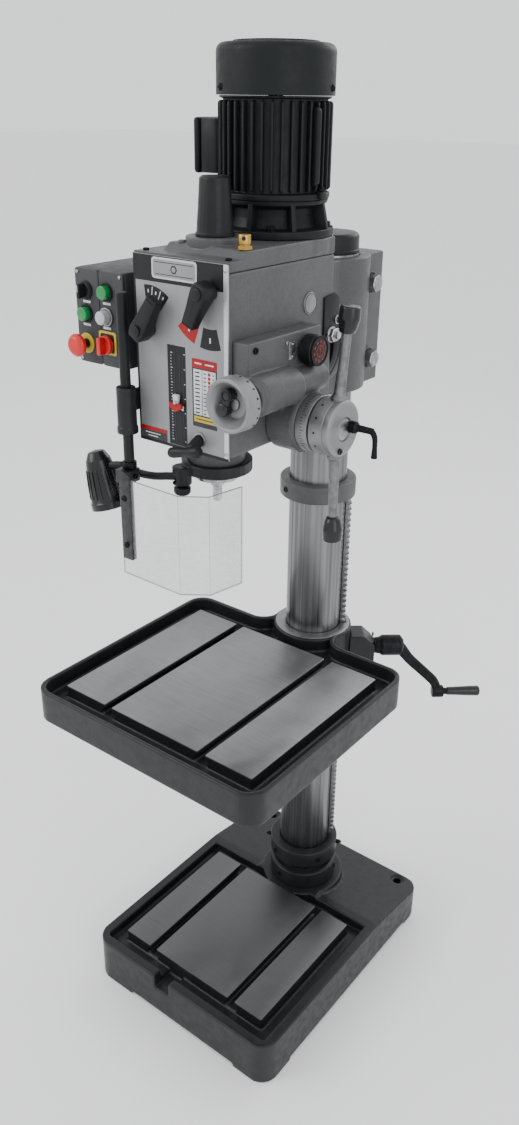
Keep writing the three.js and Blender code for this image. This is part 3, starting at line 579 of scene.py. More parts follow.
def ground_steel(name, color, rough, patches):
    """Ground cast iron: fine straight scratches and broad cloudy patches."""
    f = Finish(name, color, rough, metal=1.0)
    scratch = f.noise(f.coords((14, 900, 40)), 1.0, 3, 0.7)
    cloud = f.noise(f.coords((7, 4, 7)), 1.0, 4, 0.55)
    f.bump(scratch, 0.25, 0.05)
    f.vary_color(f.blend(scratch, 0.35, cloud), 1 - patches, 1 + patches, 0.36, 0.64)
    return f.vary_rough(cloud, 0.1).mat


def turned(name, axis, u, v, color, rough, metal=1.0):
    """A lathe-turned surface: rings about its axis."""
    f = Finish(name, color, rough, metal=metal)
    _, radius, along = f.around(axis, u, v)
    rings = f.noise(f.combine(radius, along, 0.0), 2600, 2, 0.6)
    cloud = f.noise(f.coords(), 30, 3)
    f.bump(rings, 0.3, 0.04)
    f.vary_color(f.blend(rings, 0.5, cloud), 0.86, 1.12, 0.38, 0.62)
    return f.vary_rough(cloud, 0.06).mat


def column_steel():
    """Drawn and polished tube: fine streaks along its length, and broad light and dark bands round it
    that are painted reflections.
    """
    f = Finish("column_steel", (0.18, 0.182, 0.187), 0.34, metal=1.0)
    angle, _, along = f.around("z", 0, 0)
    around = f.combine(f.math("COSINE", angle), f.math("SINE", angle), f.math("MULTIPLY", along, 0.02))
    fine = f.noise(around, 40, 4, 0.7)
    # Broad light and dark bands round the column, stretched along it: painted reflections, not the
    # steel's own tone.
    broad = f.noise(around, 7, 2, 0.5)
    f.bump(fine, 0.18, 0.05)
    # The colour mixes the real streaks with the painted reflection bands, from half to one and a half
    # times the base colour.
    f.vary_color(f.blend(fine, 0.42, broad), 0.5, 1.5, 0.36, 0.64)
    return f.vary_rough(fine, 0.08).mat


def sheet_metal(name, color, rough, metal):
    """Brushed sheet: upright streaks."""
    f = Finish(name, color, rough, metal=metal)
    streak = f.noise(f.coords((900, 900, 12)), 1.0, 2, 0.6)
    cloud = f.noise(f.coords(), 12, 3)
    f.bump(streak, 0.12, 0.02)
    f.vary_color(f.blend(streak, 0.5, cloud), 0.93, 1.06, 0.38, 0.62)
    return f.vary_rough(cloud, 0.05).mat


def plain_metal(name, color, rough, grain=700):
    f = Finish(name, color, rough, metal=1.0)
    where = f.coords()
    f.bump(f.noise(where, grain, 2), 0.2, 0.03)
    f.vary_color(f.noise(where, 90, 3), 0.8, 1.15)
    return f.vary_rough(f.noise(where, 220, 3), 0.08).mat


def clear_sheet():
    f = Finish("clear_sheet", (0.62, 0.64, 0.64), 0.12)
    haze = f.noise(f.coords((6, 6, 3)), 1.0, 4, 0.6)
    scuff = f.noise(f.coords((60, 60, 300)), 1.0, 3, 0.6)
    f.set("IOR", 1.2)
    f.set("Alpha", 0.22)
    f.link(f.remap(f.blend(haze, 0.7, scuff), 0.4, 0.66, 0.16, 0.42), f.shader.inputs["Alpha"])
    f.vary_rough(haze, 0.05)
    f.mat.surface_render_method = "BLENDED"
    return f.mat


def glass(name, color, rough):
    f = Finish(name, color, rough, coat=0.6)
    f.vary_color(f.noise(f.coords(), 60, 2), 0.8, 1.2)
    return f.mat


def make_materials():
    M["cast_grey"] = cast_paint("cast_grey", (0.068, 0.069, 0.071), 0.45, 240, 0.3, 0.35)
    M["cast_dark"] = cast_paint("cast_dark", (0.0090, 0.0103, 0.0110), 0.4, 200, 0.3, 0.3)
    M["motor_paint"] = cast_paint("motor_paint", (0.0062, 0.0078, 0.0084), 0.5, 300, 0.2, 0.2)
    M["box_grey"] = cast_paint("box_grey", (0.038, 0.04, 0.043), 0.5, 420, 0.12, 0.3)
    M["black"] = moulded("black_plastic", (0.0075, 0.0082, 0.0088), 0.42, spec=0.25)
    M["black_gloss"] = moulded("black_gloss", (0.0065, 0.007, 0.0075), 0.26, spec=0.4)
    M["column"] = column_steel()
    M["steel"] = plain_metal("bright_steel", (0.46, 0.46, 0.47), 0.3)
    M["dark_steel"] = plain_metal("blackened_steel", (0.018, 0.019, 0.021), 0.45)
    M["zinc"] = plain_metal("zinc_plate", (0.33, 0.335, 0.34), 0.4)
    M["rack_steel"] = plain_metal("rack_steel", (0.16, 0.162, 0.165), 0.42)
    M["galvanised"] = plain_metal("galvanised_strip", (0.06, 0.063, 0.065), 0.42, 120)
    M["table_steel"] = ground_steel("table_ground_steel", (0.235, 0.235, 0.24), 0.42, 0.3)
    M["pad_steel"] = ground_steel("pad_ground_steel", (0.125, 0.126, 0.128), 0.5, 0.16)
    M["hub"] = turned("hub_aluminium", "x", *HUB, (0.24, 0.243, 0.247), 0.46, 0.75)
    M["wheel"] = turned("handwheel_aluminium", "y", *WHEEL, (0.235, 0.237, 0.24), 0.48, 0.65)
    M["lever"] = plain_metal("satin_lever", (0.19, 0.192, 0.195), 0.5)
    M["collar_top"] = turned("turned_iron", "z", 0, 0, (0.24, 0.24, 0.245), 0.42)
    M["panel"] = sheet_metal("panel_sheet", (0.255, 0.258, 0.264), 0.45, 0.3)
    M["panel_edge"] = sheet_metal("panel_edge", (0.62, 0.62, 0.63), 0.3, 0.7)
    M["brass"] = plain_metal("brass", (0.50, 0.31, 0.075), 0.34)
    M["clear"] = clear_sheet()
    M["clear_edge"] = moulded("clear_sheet_edge", (0.16, 0.165, 0.165), 0.3)
    M["sight"] = glass("sight_glass", (0.15, 0.153, 0.156), 0.35)
    M["bulb"] = moulded("frosted_bulb", (0.6, 0.6, 0.57), 0.35)
    M["p_black"] = moulded("print_black", (0.008, 0.008, 0.009), 0.4, spec=0.3)
    M["p_grey"] = moulded("print_grey", (0.03, 0.031, 0.034), 0.45, spec=0.3)
    M["p_white"] = moulded("print_white", (0.55, 0.56, 0.57), 0.45)
    M["p_red"] = moulded("print_red", (0.30, 0.007, 0.010), 0.4, spec=0.3)
    M["p_yellow"] = moulded("print_yellow", (0.46, 0.36, 0.02), 0.45)
    M["green"] = moulded("button_green", (0.003, 0.20, 0.045), 0.28, 300, 0.05, 0.2)
    M["white"] = moulded("button_white", (0.42, 0.43, 0.45), 0.28, 300, 0.05, 0.2)
    M["red"] = moulded("button_red", (0.55, 0.012, 0.012), 0.35, 300, 0.06, 0.1, 0.4)
    floor = Finish("pale_floor", (0.93, 0.93, 0.93), 0.7)
    floor.vary_color(floor.noise(floor.coords(), 3, 2), 0.99, 1.0)
    M["floor"] = floor.mat


# ---- small hardware ------------------------------------------------------------------------


def hex_bolt(axis, u, v, face, out, across=19.0, washer=True):
    """A hex head and washer on a face; out is +1 or -1 along the axis."""
    k = across / 19.0
    head = polygon_bar(axis, u, v, 6, across, face + out * 2.2 * k, face + out * 12 * k, 1.0 * k, 0.2)
    top = cyl(axis, u, v, across * 0.46, face + out * 11.5 * k, face + out * 12.6 * k, 0.5)
    parts = both(head, top)
    if washer:
        add(parts, 1, cyl(axis, u, v, across * 0.86, face, face + out * 2.4 * k, 0.5))
    return parts


def socket_screw(axis, u, v, r, face, out, tall):
    """A socket-head screw with its round drive recess."""
    top = face + out * tall
    line = fillet([(0, top - out * tall * 0.6), (r * 0.5, top - out * tall * 0.6), (r * 0.5, top),
            (r, top), (r, face), (0, face)], min(0.5, r * 0.12), 2)
    return lathe(line, axis, u, v, 24)


def dome_screw(axis, u, v, r, face, out):
    line = [(0, face), (r, face), (r, face + out * 0.3 * r), (r * 0.8, face + out * 0.62 * r),
            (r * 0.5, face + out * 0.75 * r), (r * 0.3, face + out * 0.55 * r), (0, face + out * 0.5 * r)]
    return lathe(line, axis, u, v, 20)


def ticks(u, v, r, at, count, long, wide):
    """Graduation lines round a drum along X, each a thin raised bar; every fifth is longer."""
    out = bmesh.new()
    for i in range(count):
        length = long * (1.0 if i % 5 == 0 else 0.6)
        bar = rbox(r - 0.25, r + 0.22, -wide / 2, wide / 2, 0, length, 0.1, 1, 0.05)
        spin(spin(spin(bar, 360.0 * i / count), 90, "Y"), 90, "X")
        both(out, shift(bar, at, u, v))
    return out


def dimples(bm, index, axis, u, v, r, at, step, size, tall, seg):
    """Small round marks on a drum's rim, step degrees apart."""
    for a in range(0, 360, step):
        mark = [place(axis, *polar(u, v, q, math.radians(a)), 0, 0, at) for q in (r, r + 1)]
        add(bm, index, peg(*mark, size, tall, seg))


def dress(node, material, bevel):
    """A carried-over CAD node: its finish, smooth shading and softened edges."""
    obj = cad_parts[node]
    if obj.data.materials:
        for i in range(len(obj.data.materials)):
            obj.data.materials[i] = M[material]
    else:
        obj.data.materials.append(M[material])
    shade(obj.data, 35)
    modify(obj, "edges", "BEVEL", width=bevel * 0.001, segments=2, limit_method="ANGLE",
           angle_limit=math.radians(30))


# ---- column, base and table ----------------------------------------------------------------


def build_stand():
    base = bmesh.new()
    for x0, x1 in ((-193.2, -121.8), (-102.8, 102.8), (121.8, 193.2)):
        both(base, rbox(x0, x1, -420, -93.8, 114.5, 116.5, 2.0, 3, 0.6))
    make("base_pads", base, "pad_steel")
    cast("base_casting", "base", 2.6, 3, "cast_dark")
    foot = hollow([(58.2, 117), (79, 117, 1.5), (79, 157, 2.5), (72, 160, 1.2), (58.2, 160)], 1, 4)
    for a in (20, 140, 260):
        add(foot, 1, spin(socket_screw("x", 0, 139, 5.5, 77.5, 1, 3.4), a))
    make("column_foot_flange", foot, ["cast_dark", "dark_steel"],
         stands_for="column_foot")
    tube_line = fillet([(47.5, 117), (57.5, 117, 1), (57.5, 1586, 1), (47.5, 1586)], 0.8, 2, True)
    column = lathe(tube_line + [tube_line[0]], seg=128)
    cap = turning([(0, 1586.2), (58.6, 1586.2, 0.8), (58.6, 1592, 0.8), (57.4, 1593), (57.4, 1621, 8),
            (0, 1621)], 1, 6, seg=96)
    both(column, tint(cap, 1), spin(tint(cyl("x", 0, 1606, 2.6, 56.6, 57.7, 0.2), 2), -44))
    make("column_tube", column, ["column", "black", "p_black"], stands_for="column")
    for end, r, z0, z1, corner, screw_z, paint, slot in (
            ("lower", 80, 181, 222, 3, 201, "cast_dark", "charcoal_paint"),
            ("upper", 77, 1115, 1152, 4, 1134, "cast_grey", "grey_paint")):
        collar = hollow([(58.1, z0), (r, z0, 3), (r, z1, corner), (66, z1, 1.5), (58.1, z1)], 1, 4)
        for a in (-112, -30, 95, 200):
            add(collar, 1, spin(socket_screw("x", 0, screw_z, 6.2, r - 1.2, 1, 3), a))
        if end == "lower":
            for a in (-152, 28):
                add(collar, 1, spin(cyl("x", 0, 206, 5, 79, 88), a), spin(cyl("x", 0, 206, 3, 86, 92), a))
        make(end + "_rack_collar", collar, [paint, "dark_steel"], stands_for=end + "_collar",
             angle=30)
    dress("elevating_rack", "rack_steel", 0.4)


def build_table():
    cast("table_casting", "table", 2.4, 2, "cast_dark", "table_lift")
    plates = bmesh.new()
    for x0, x1 in ((-228, -124.2), (-105.8, 105.8), (124.2, 228)):
        both(plates, rbox(x0, x1, -503, -108.2, 806.4, 808.5, 2.0, 3, 0.6))
    make("table_work_plates", plates, "table_steel", "table_lift")
    seat = carve(ring("z", 0, 0, 80, 58.4, 812.0, 815.5, 1.0, 96),
            spin(rbox(50, 72.5, -14, 14, 808, 820), RACK_TURN))
    make("table_hub_ring", seat, "collar_top", "table_lift")
    cast("table_gear_box", "table_gear_housing", 1.8, 2, "cast_dark", "table_lift")
    screws = bmesh.new()
    for z in (690, 768):
        for y in (-18, 18):
            both(screws, socket_screw("x", y, z, 4.2, 136, 1, 3.2))
    make("gear_box_screws", spin(screws, RACK_TURN), "dark_steel", "table_lift")
    crank = cyl("x", 0, 750, 8.5, 76, 139, 0.5)
    both(crank, turning([(0, 137.4), (17, 137.4, 1), (19, 150, 2), (23, 156, 3), (23, 196, 4),
            (14, 203, 3), (0, 203)], 1, 4, "x", 0, 750, 48))
    both(crank, tube([(186, 0, 750), (199, 0, 741), (210, 0, 727), (224, 0, 710), (259, 0, 676),
            (280, 0, 654), (291, 0, 630)], [15, 14, 13, 12, 11.5, 11.5, 12], 24, 8, 0.66))
    both(crank, cyl("x", 0, 627, 14, 278, 304, 3, 40, 4), cyl("x", 0, 627, 7.5, 303, 313, 0.5))
    add(crank, 1, socket_screw("z", 176, 0, 4.5, 772, 1, 1.2))
    make("table_crank_arm", spin(crank, RACK_TURN), ["dark_steel", "p_black"], "crank",
         "table_crank")
    grip = turning([(0, 312), (9, 312, 1.5), (9.6, 330, 9), (11.2, 366, 12), (11.5, 384, 4), (8, 387, 2),
            (0, 387)], 2, 5, "x", 0, 627, 40)
    make("table_crank_grip", spin(grip, RACK_TURN), "black_gloss", "grip", "crank_grip")
    lever = cyl("x", 0, 740, 9, 85, 112, 1.2)
    both(lever, tube([(103, 0, 744), (107, 0, 768), (113, 0, 798), (118, 0, 826)], [6.5, 6, 5.5, 5], 18,
            6))
    add(lever, 1, turning([(0, 824), (8, 824, 1), (11, 833, 5), (10.5, 846, 4), (0, 848)], 3, 4, "z", 118,
            0, 36))
    make("table_lock_handle", spin(lever, 140), ["dark_steel", "black_gloss"], "table_lock",
         "table_lock_lever")
    dress("elevating_pinion", "dark_steel", 0.4)


# ---- head and motor ------------------------------------------------------------------------


def build_head():
    cast("head_housing", "head_casting", 2.6, 3, "cast_grey")
    cast("head_cover", "head_top_cover", 1.8, 2, "cast_grey")
    bolts = bmesh.new()
    for y, z in ((57, 1390), (53, 1531)):
        for side in (1, -1):
            both(bolts, tint(cyl("x", y, z, 22, side * 52, side * 66, 2.5, 64), 2),
                 tint(ring("x", y, z, 18.6, 16.2, side * 65.6, side * 66.8, 0.4), 3))
            both(bolts, hex_bolt("x", y, z, side * 63.2, side, 28, False))
    make("clamp_bolts", bolts, ["zinc", "steel", "cast_grey", "dark_steel"])
    cap = turning([(0, 1642.4), (31, 1642.4, 0.6), (31, 1647, 0.8), (29, 1648.5, 0.5), (28.2, 1662),
            (26.6, 1684), (24, 1727, 3), (20, 1730, 1.5), (0, 1730)], 2, 4, "z", *SPINDLE, 144,
            flutes(24, 0.011, 1649, 1670))
    seat = hollow([(31.5, 1628), (46.6, 1628), (46.6, 1642.2, 2.0), (31.5, 1642.2)], 0.4, 4, "z",
            *SPINDLE, 72)
    both(seat, cyl("z", -38, -352, 6, 1630, 1636, 1.0))
    make("spindle_cap_seat", seat, "cast_grey")
    make("spindle_top_cap", cap, "black", stands_for="spindle_cap")
    filler = polygon_bar("z", *FILLER, 6, 21, 1632, 1638, 0.8, 0.3)
    both(filler, turning([(0, 1637.5), (8.6, 1637.5), (8.6, 1640), (9.6, 1641, 0.5), (9.6, 1654.5, 1.6),
            (0, 1654.5)], 1, 3, "z", *FILLER, 40))
    add(filler, 1, peg((88.6, -355.6, 1649), (89.9, -357.4, 1649), 3.2, 1.6, 20))
    make("oil_filler", filler, ["brass", "p_black"])
    sight = turning([(0, 97.4), (18, 97.4, 0.5), (18, 100.2, 1.0), (15.8, 100.8, 0.6), (0, 102.2)], 0.6,
            4, "x", *SIGHT, 48)
    add(sight, 1, ring("x", *SIGHT, 16.4, 15.6, 100.2, 101.2, 0.2))
    make("oil_sight_glass", sight, ["sight", "dark_steel"])
    screws = bmesh.new()
    for x, y in ((-84, -386), (84, -386), (-84, -140), (88, -140), (-84, -262)):
        both(screws, socket_screw("z", x, y, 5, 1620, 1, 3.5))
    both(screws, socket_screw("z", -38, -340, 3.4, 1632, 1, 3))
    make("cover_screws", screws, "dark_steel")
    disc = hollow([(40, -122.4), (104, -122.4, 2), (105, -112, 2), (105, -104, 3), (40, -104)], 1, 4, "y",
            *NECK)
    both(disc, plate([(-152, 1470), (-106, 1468), (-106, 1530), (-120, 1540), (-152, 1536)], 3, 3, 96,
            101.5, "x", 1.0))
    add(disc, 1, polygon_bar("x", -112, 1494, 6, 11, 101, 109, 0.6),
        cyl("x", -112, 1494, 8, 101, 103, 0.5))
    add(disc, 1, cyl("x", -129, 1471, 14, 98, 104, 1), polygon_bar("x", -129, 1471, 6, 22, 103, 112, 1),
        cyl("x", -129, 1471, 6.5, 111, 118, 1))
    make("neck_side_cover", disc, ["black", "steel"], stands_for="neck_cover")
    flange = hollow([(30, -103.6), (106, -103.6, 2), (108, -96, 2), (108, -88, 3), (100, -85, 1),
            (98, -82, 1), (96, -70, 4), (80, -40, 8), (60, -30), (30, -30)], 1, 4, "y", *NECK)
    make("neck_flange", flange, "cast_grey")
    line = fillet([(44.3, 1262.3), (44.3, 1250), (46, 1249.4, 0.6), (49.4, 1255, 1), (49.6, 1262.3)], 0.6,
            3, True)
    nose = lathe(line + [line[0]], "z", *SPINDLE, 160,
            flutes(40, 0.008, 0, 1257))
    make("quill_boss_lip", nose, "zinc")


def build_motor():
    x, y = MOTOR

    def about(bm, degrees):
        return spin(bm, degrees, "Z", (x, y, 0))

    bell = hollow([(30, 1632.4), (100, 1632.4, 1.5), (100, 1645, 2), (78, 1646.5, 4), (72, 1662, 8),
            (72, 1678, 5), (88, 1683, 2), (90, 1689.6, 1), (30, 1689.6)], 1.5, 4, "z", *MOTOR)
    web = fillet([(60, 1640), (97, 1640), (97, 1649, 3), (88, 1689), (60, 1689)], 0, 3, True)
    for i in range(8):
        both(bell, about(shift(prism(web, -4, 4, "y", 1.0), 0, y), 45 * i + 12))
    for i in range(4):
        add(bell, 1, about(hex_bolt("z", 88, y, 1645, 1, 13), 90 * i + 34))
    make("motor_bell", bell, ["motor_paint", "dark_steel"],
         stands_for="motor_flange_bell")
    shell = hollow([(56, 1690.4), (91, 1690.4, 1), (92, 1699, 2), (84, 1701, 2), (84, 1836, 1),
            (90, 1838, 1), (90, 1840.6), (56, 1840.6)], 1, 3, "z", *MOTOR)
    fin = fillet([(80, 1703), (92.5, 1703, 5), (92.5, 1834, 5), (80, 1834)], 0, 4, True)
    for i in range(36):
        if i not in (17, 18, 19):
            both(shell, about(shift(prism(fin, -1.9, 1.9, "y", 1.2), 0, y), 10 * i + 4))
    wing = fillet([(80, 1712), (97.5, 1712, 8), (97.5, 1826, 8), (80, 1826)], 0, 5, True)
    both(shell, about(shift(prism(wing, -5, 5, "y", 2.0), 0, y), -8))
    both(shell, about(shift(rbox(86, 98, -8, 8, 1691, 1703, 3), 0, y), 2))
    add(shell, 1, about(hex_bolt("z", 93, y, 1703, 1, 9, False), 2))
    make("motor_fins", shell, ["motor_paint", "dark_steel"],
         stands_for="motor_housing")
    fan = turning([(86, 1841.2), (95, 1841.2, 1), (95, 1915, 19), (69, 1915, 1), (68, 1918, 1.5),
            (0, 1918)], 1, 8, "z", *MOTOR, 96)
    for a in (20, 110, 200, -114):
        add(fan, 1, about(dome_screw("x", y, 1852, 5.4, 94.6, 1), a - 4))
    slots = bmesh.new()
    for r in (18, 30, 42, 54):
        both(slots, ring("z", *MOTOR, r, r - 4.5, 1917.2, 1918.25, 0.3, 64))
    add(fan, 2, slots)
    make("motor_fan_cowl", fan, ["motor_paint", "dark_steel", "p_black"],
         stands_for="motor_fan_cover")
    box = rbox(-125, -84, -209, -121, 1723, 1807, 9, 5, 4)
    both(box, rbox(-138, -125.6, -210, -120, 1722, 1808, 10, 5, 5))
    for yy in (-200, -130):
        for z in (1732, 1798):
            add(box, 1, dome_screw("x", yy, z, 3.6, -137.6, -1))
    add(box, 2, cyl("z", -108, y, 11, 1712, 1724, 1.2))
    make("motor_junction_box", box, ["motor_paint", "steel", "black"],
         stands_for="motor_terminal_box")


# ---- front panel ---------------------------------------------------------------------------

PANEL_FACE = -403.0
PANEL_INKS = ("panel", "panel_edge", "p_black", "p_white", "p_red", "p_yellow", "steel", "p_grey")
SHEET, BRIGHT, BLACK, WHITE, RED, YELLOW, SCREW, GREY = range(8)


def printed(outline, ink, lift=0.35):
    """A mark on the panel, a little proud of its face."""
    return tint(prism(outline, PANEL_FACE - lift, PANEL_FACE + 0.1, "y", 0.04, 1), ink)


def patch(x0, x1, z0, z1, ink, lift=0.35, r=0.8):
    return printed(rectangle(x0, x1, z0, z1, r, 2), ink, lift)


def dot(x, z, r, sides, ink, lift):
    return printed([polar(x, z, r, 2 * math.pi * k / sides) for k in range(sides)], ink, lift)


def sector(x, z, r0, r1, a0, a1, ink):
    turns = [math.radians(a0 + (a1 - a0) * i / 12) for i in range(13)]
    outer = [polar(x, z, r1, t) for t in turns]
    return printed(outer + [polar(x, z, r0, t) for t in turns[::-1]], ink)


def ray(x, z, degrees, r0, r1, wide):
    """A white line that points away from (x, z)."""
    t = math.radians(degrees)
    line = []
    for r, w in ((r0, -wide), (r1, -wide), (r1, wide), (r0, wide)):
        a, b = polar(x, z, r, t)
        line.append((a + w * math.sin(t), b - w * math.cos(t)))
    return printed(line, WHITE, 0.5)


def lever_fans(sheet):
    left, right = (-65.5, 1503), (60, 1573)
    both(sheet, sector(*left, 36, 68, 51, 98, BLACK))
    both(sheet, sector(*right, 52, 87, 222, 249, RED), sector(*right, 55, 87, 257, 285, BLACK))
    for degrees in (66.5, 82.5):
        both(sheet, ray(*left, degrees, 36, 66, 0.8))
    for degrees in (58.5, 74.5, 90.5):
        both(sheet, ray(*left, degrees, 56, 61, 1.3))
    for degrees in (236, 271):
        both(sheet, ray(*right, degrees, 68, 76, 1.6))


def depth_scale(sheet):
    for i in range(31):
        z = 1327 + 4.8 * i
        fifth = i % 5 == 0
        both(sheet, patch(-22.5, -18.3 if fifth else -20.3, z - 0.5, z + 0.5, WHITE, 0.55, 0.1))
        if fifth:
            both(sheet, patch(5.6, 8.4, z - 0.5, z + 0.5, WHITE, 0.55, 0.1))


def speed_chart(sheet):
    for i in range(11):
        z = 1381.5 + 6.5 * i
        both(sheet, patch(29, 39, z, z + 2.2, BLACK, 0.6, 0.4), patch(47, 52, z, z + 2.2, GREY, 0.6, 0.4),
             patch(65, 69, z, z + 1.8, GREY, 0.6, 0.4))
        if i > 6:
            both(sheet, dot(58.5, z + 1, 2.9, 12, RED, 0.6))


def build_panel():
    sheet = prism(rectangle(-97, 97, 1312, 1617, 2.5), PANEL_FACE, -400.2, "y", 0.6)
    border = ((-97, -93.4, 1312, 1617, BLACK), (-97, 97, 1312, 1317, BLACK, 0.4),
            (-93.2, 88, 1577, 1616.5, BLACK), (89, 97, 1317.5, 1617, BRIGHT, 0.8, 1.5))
    badge = ((-56, 37, 1583, 1615, BRIGHT, 1.4, 5), (-53, 34, 1586, 1612, SHEET, 1.6, 4),
            (-49, 30, 1589.4, 1590.6, GREY, 1.8, 0.3), (-49, 30, 1607.4, 1608.6, GREY, 1.8, 0.3))
    slot = ((-29, 9.5, 1318, 1483, BLACK, 0.3, 1.2), (-14.6, -13.4, 1322, 1474, GREY, 0.7, 0.3),
            (-3.6, -2.4, 1322, 1474, GREY, 0.7, 0.3), (3.6, 4.6, 1322, 1474, GREY, 0.7, 0.3))
    chart = ((23, 74, 1359, 1469, GREY, 0.3, 1.2), (23, 74, 1455, 1469, RED, 0.5, 1.0),
            (29, 43, 1461, 1463.4, WHITE, 0.7, 0.4), (50, 68, 1461, 1463.4, WHITE, 0.7, 0.4),
            (26, 43, 1379, 1452.5, WHITE, 0.5, 0.5), (44.5, 71.5, 1379, 1452.5, WHITE, 0.5, 0.5),
            (26, 71.5, 1367, 1376.5, YELLOW, 0.5, 0.6), (30, 66, 1371, 1372.6, BLACK, 0.7, 0.3))
    label = ((-95, -35, 1316, 1338, GREY, 0.4, 0.8), (-95, -35, 1331.5, 1338, RED, 0.5, 0.6),
            (-84, -50, 1326.5, 1328, WHITE, 0.6, 0.3), (-78, -56, 1321.5, 1323, WHITE, 0.6, 0.3))
    for area in border + badge + slot + chart + label:
        both(sheet, patch(*area))
    both(sheet, dot(-9.5, 1599, 7, 6, GREY, 1.8), dot(-9.5, 1599, 4, 12, SHEET, 2.0))
    lever_fans(sheet)
    depth_scale(sheet)
    speed_chart(sheet)
    for z in (1608, 1324):
        add(sheet, SCREW, dome_screw("y", 93, z, 3.3, -403.6, -1))
    make("control_panel", sheet, PANEL_INKS, stands_for="front_panel", angle=30)
    pointer = plate([(-13, 1390), (-4, 1390), (-3, 1405), (-14, 1405)], 1.2, 3, -410.4, -404.2, "y", 0.5)
    both(pointer, plate([(-21, 1378), (-13, 1384), (-5, 1384), (5, 1379), (5, 1387), (-21, 1387)], 0.8, 2,
            -407.2, -404.2, "y", 0.4, 1))
    add(pointer, 1, plate([(-21, 1392), (-22, 1384), (-8.5, 1376), (5, 1384), (4, 1392), (-8.5, 1389)], 1,
            3, -411.4, -406.0, "y", 0.5))
    add(pointer, 2, dome_screw("y", -8.5, 1392, 3.4, -411.2, -1), cyl("y", -9, 1390, 3.2, -405, -398))
    make("depth_stop_pointer", pointer, ["p_white", "p_red", "steel"], "depth_pointer",
         "depth_pointer")


def paddle(x, z, angle, long, hub, tip):
    """A bulky moulded shift handle in the panel's plane, pointing at angle from +X."""
    line = [(-hub, -hub * 0.8, 6), (0, -hub, 12), (long * 0.5, -tip * 1.12, 12), (long, -tip, 2.5),
            (long, tip, 2.5), (long * 0.5, tip * 1.12, 12), (0, hub, 12), (-hub, hub * 0.8, 6)]
    bm = plate(line, 0, 5, -437, -408, "y", 4.0, 4)
    for v in bm.verts:
        if v.co.x > 0:
            k = min(1.0, v.co.x / long)
            if v.co.y > -422:
                v.co.y -= 8 * k
            else:
                v.co.y += 2.5 * k
    spin(bm, -angle, "Y")
    both(bm, cyl("y", 0, 0, hub * 0.86, -416, -403.4, 1.0), cyl("y", 0, 0, hub * 0.62, -439.5, -436, 1.4),
         cyl("y", 0, 0, 7, -404, -377, 0.5))
    return shift(bm, x, 0, z)


def build_levers():
    make("speed_shift_left", paddle(-65.5, 1503, 57, 62, 15.5, 11.5), "black", "speed_left",
         "speed_lever_left")
    make("speed_shift_right", paddle(63.8, 1575, 244, 57, 15.5, 11.5), "black", "speed_right",
         "speed_lever_right")
    lock = cyl("y", *QUILL_LOCK, 7, -404, -382, 0.5)
    add(lock, 1, ring("y", *QUILL_LOCK, 13, 8, -403.3, -405.6))
    both(lock, stick((37, -404, 1337), (35, -426, 1324), fillet([(0, 0), (10, 0, 1), (9.4, 16, 3),
            (9.4, 25, 5), (0, 25)], 1, 4), 32))
    both(lock, stick((58, -427, 1327), (-8, -427, 1312), fillet([(0, 0), (9, 0, 5), (9.6, 14, 8),
            (7.6, 34, 12), (9.2, 58, 8), (8, 67.7, 5), (0, 67.7)], 3, 5)))
    make("quill_lock_handle", lock, ["black", "zinc"], "quill_lock", "quill_lock_lever")


# ---- feed drive on the right ---------------------------------------------------------------


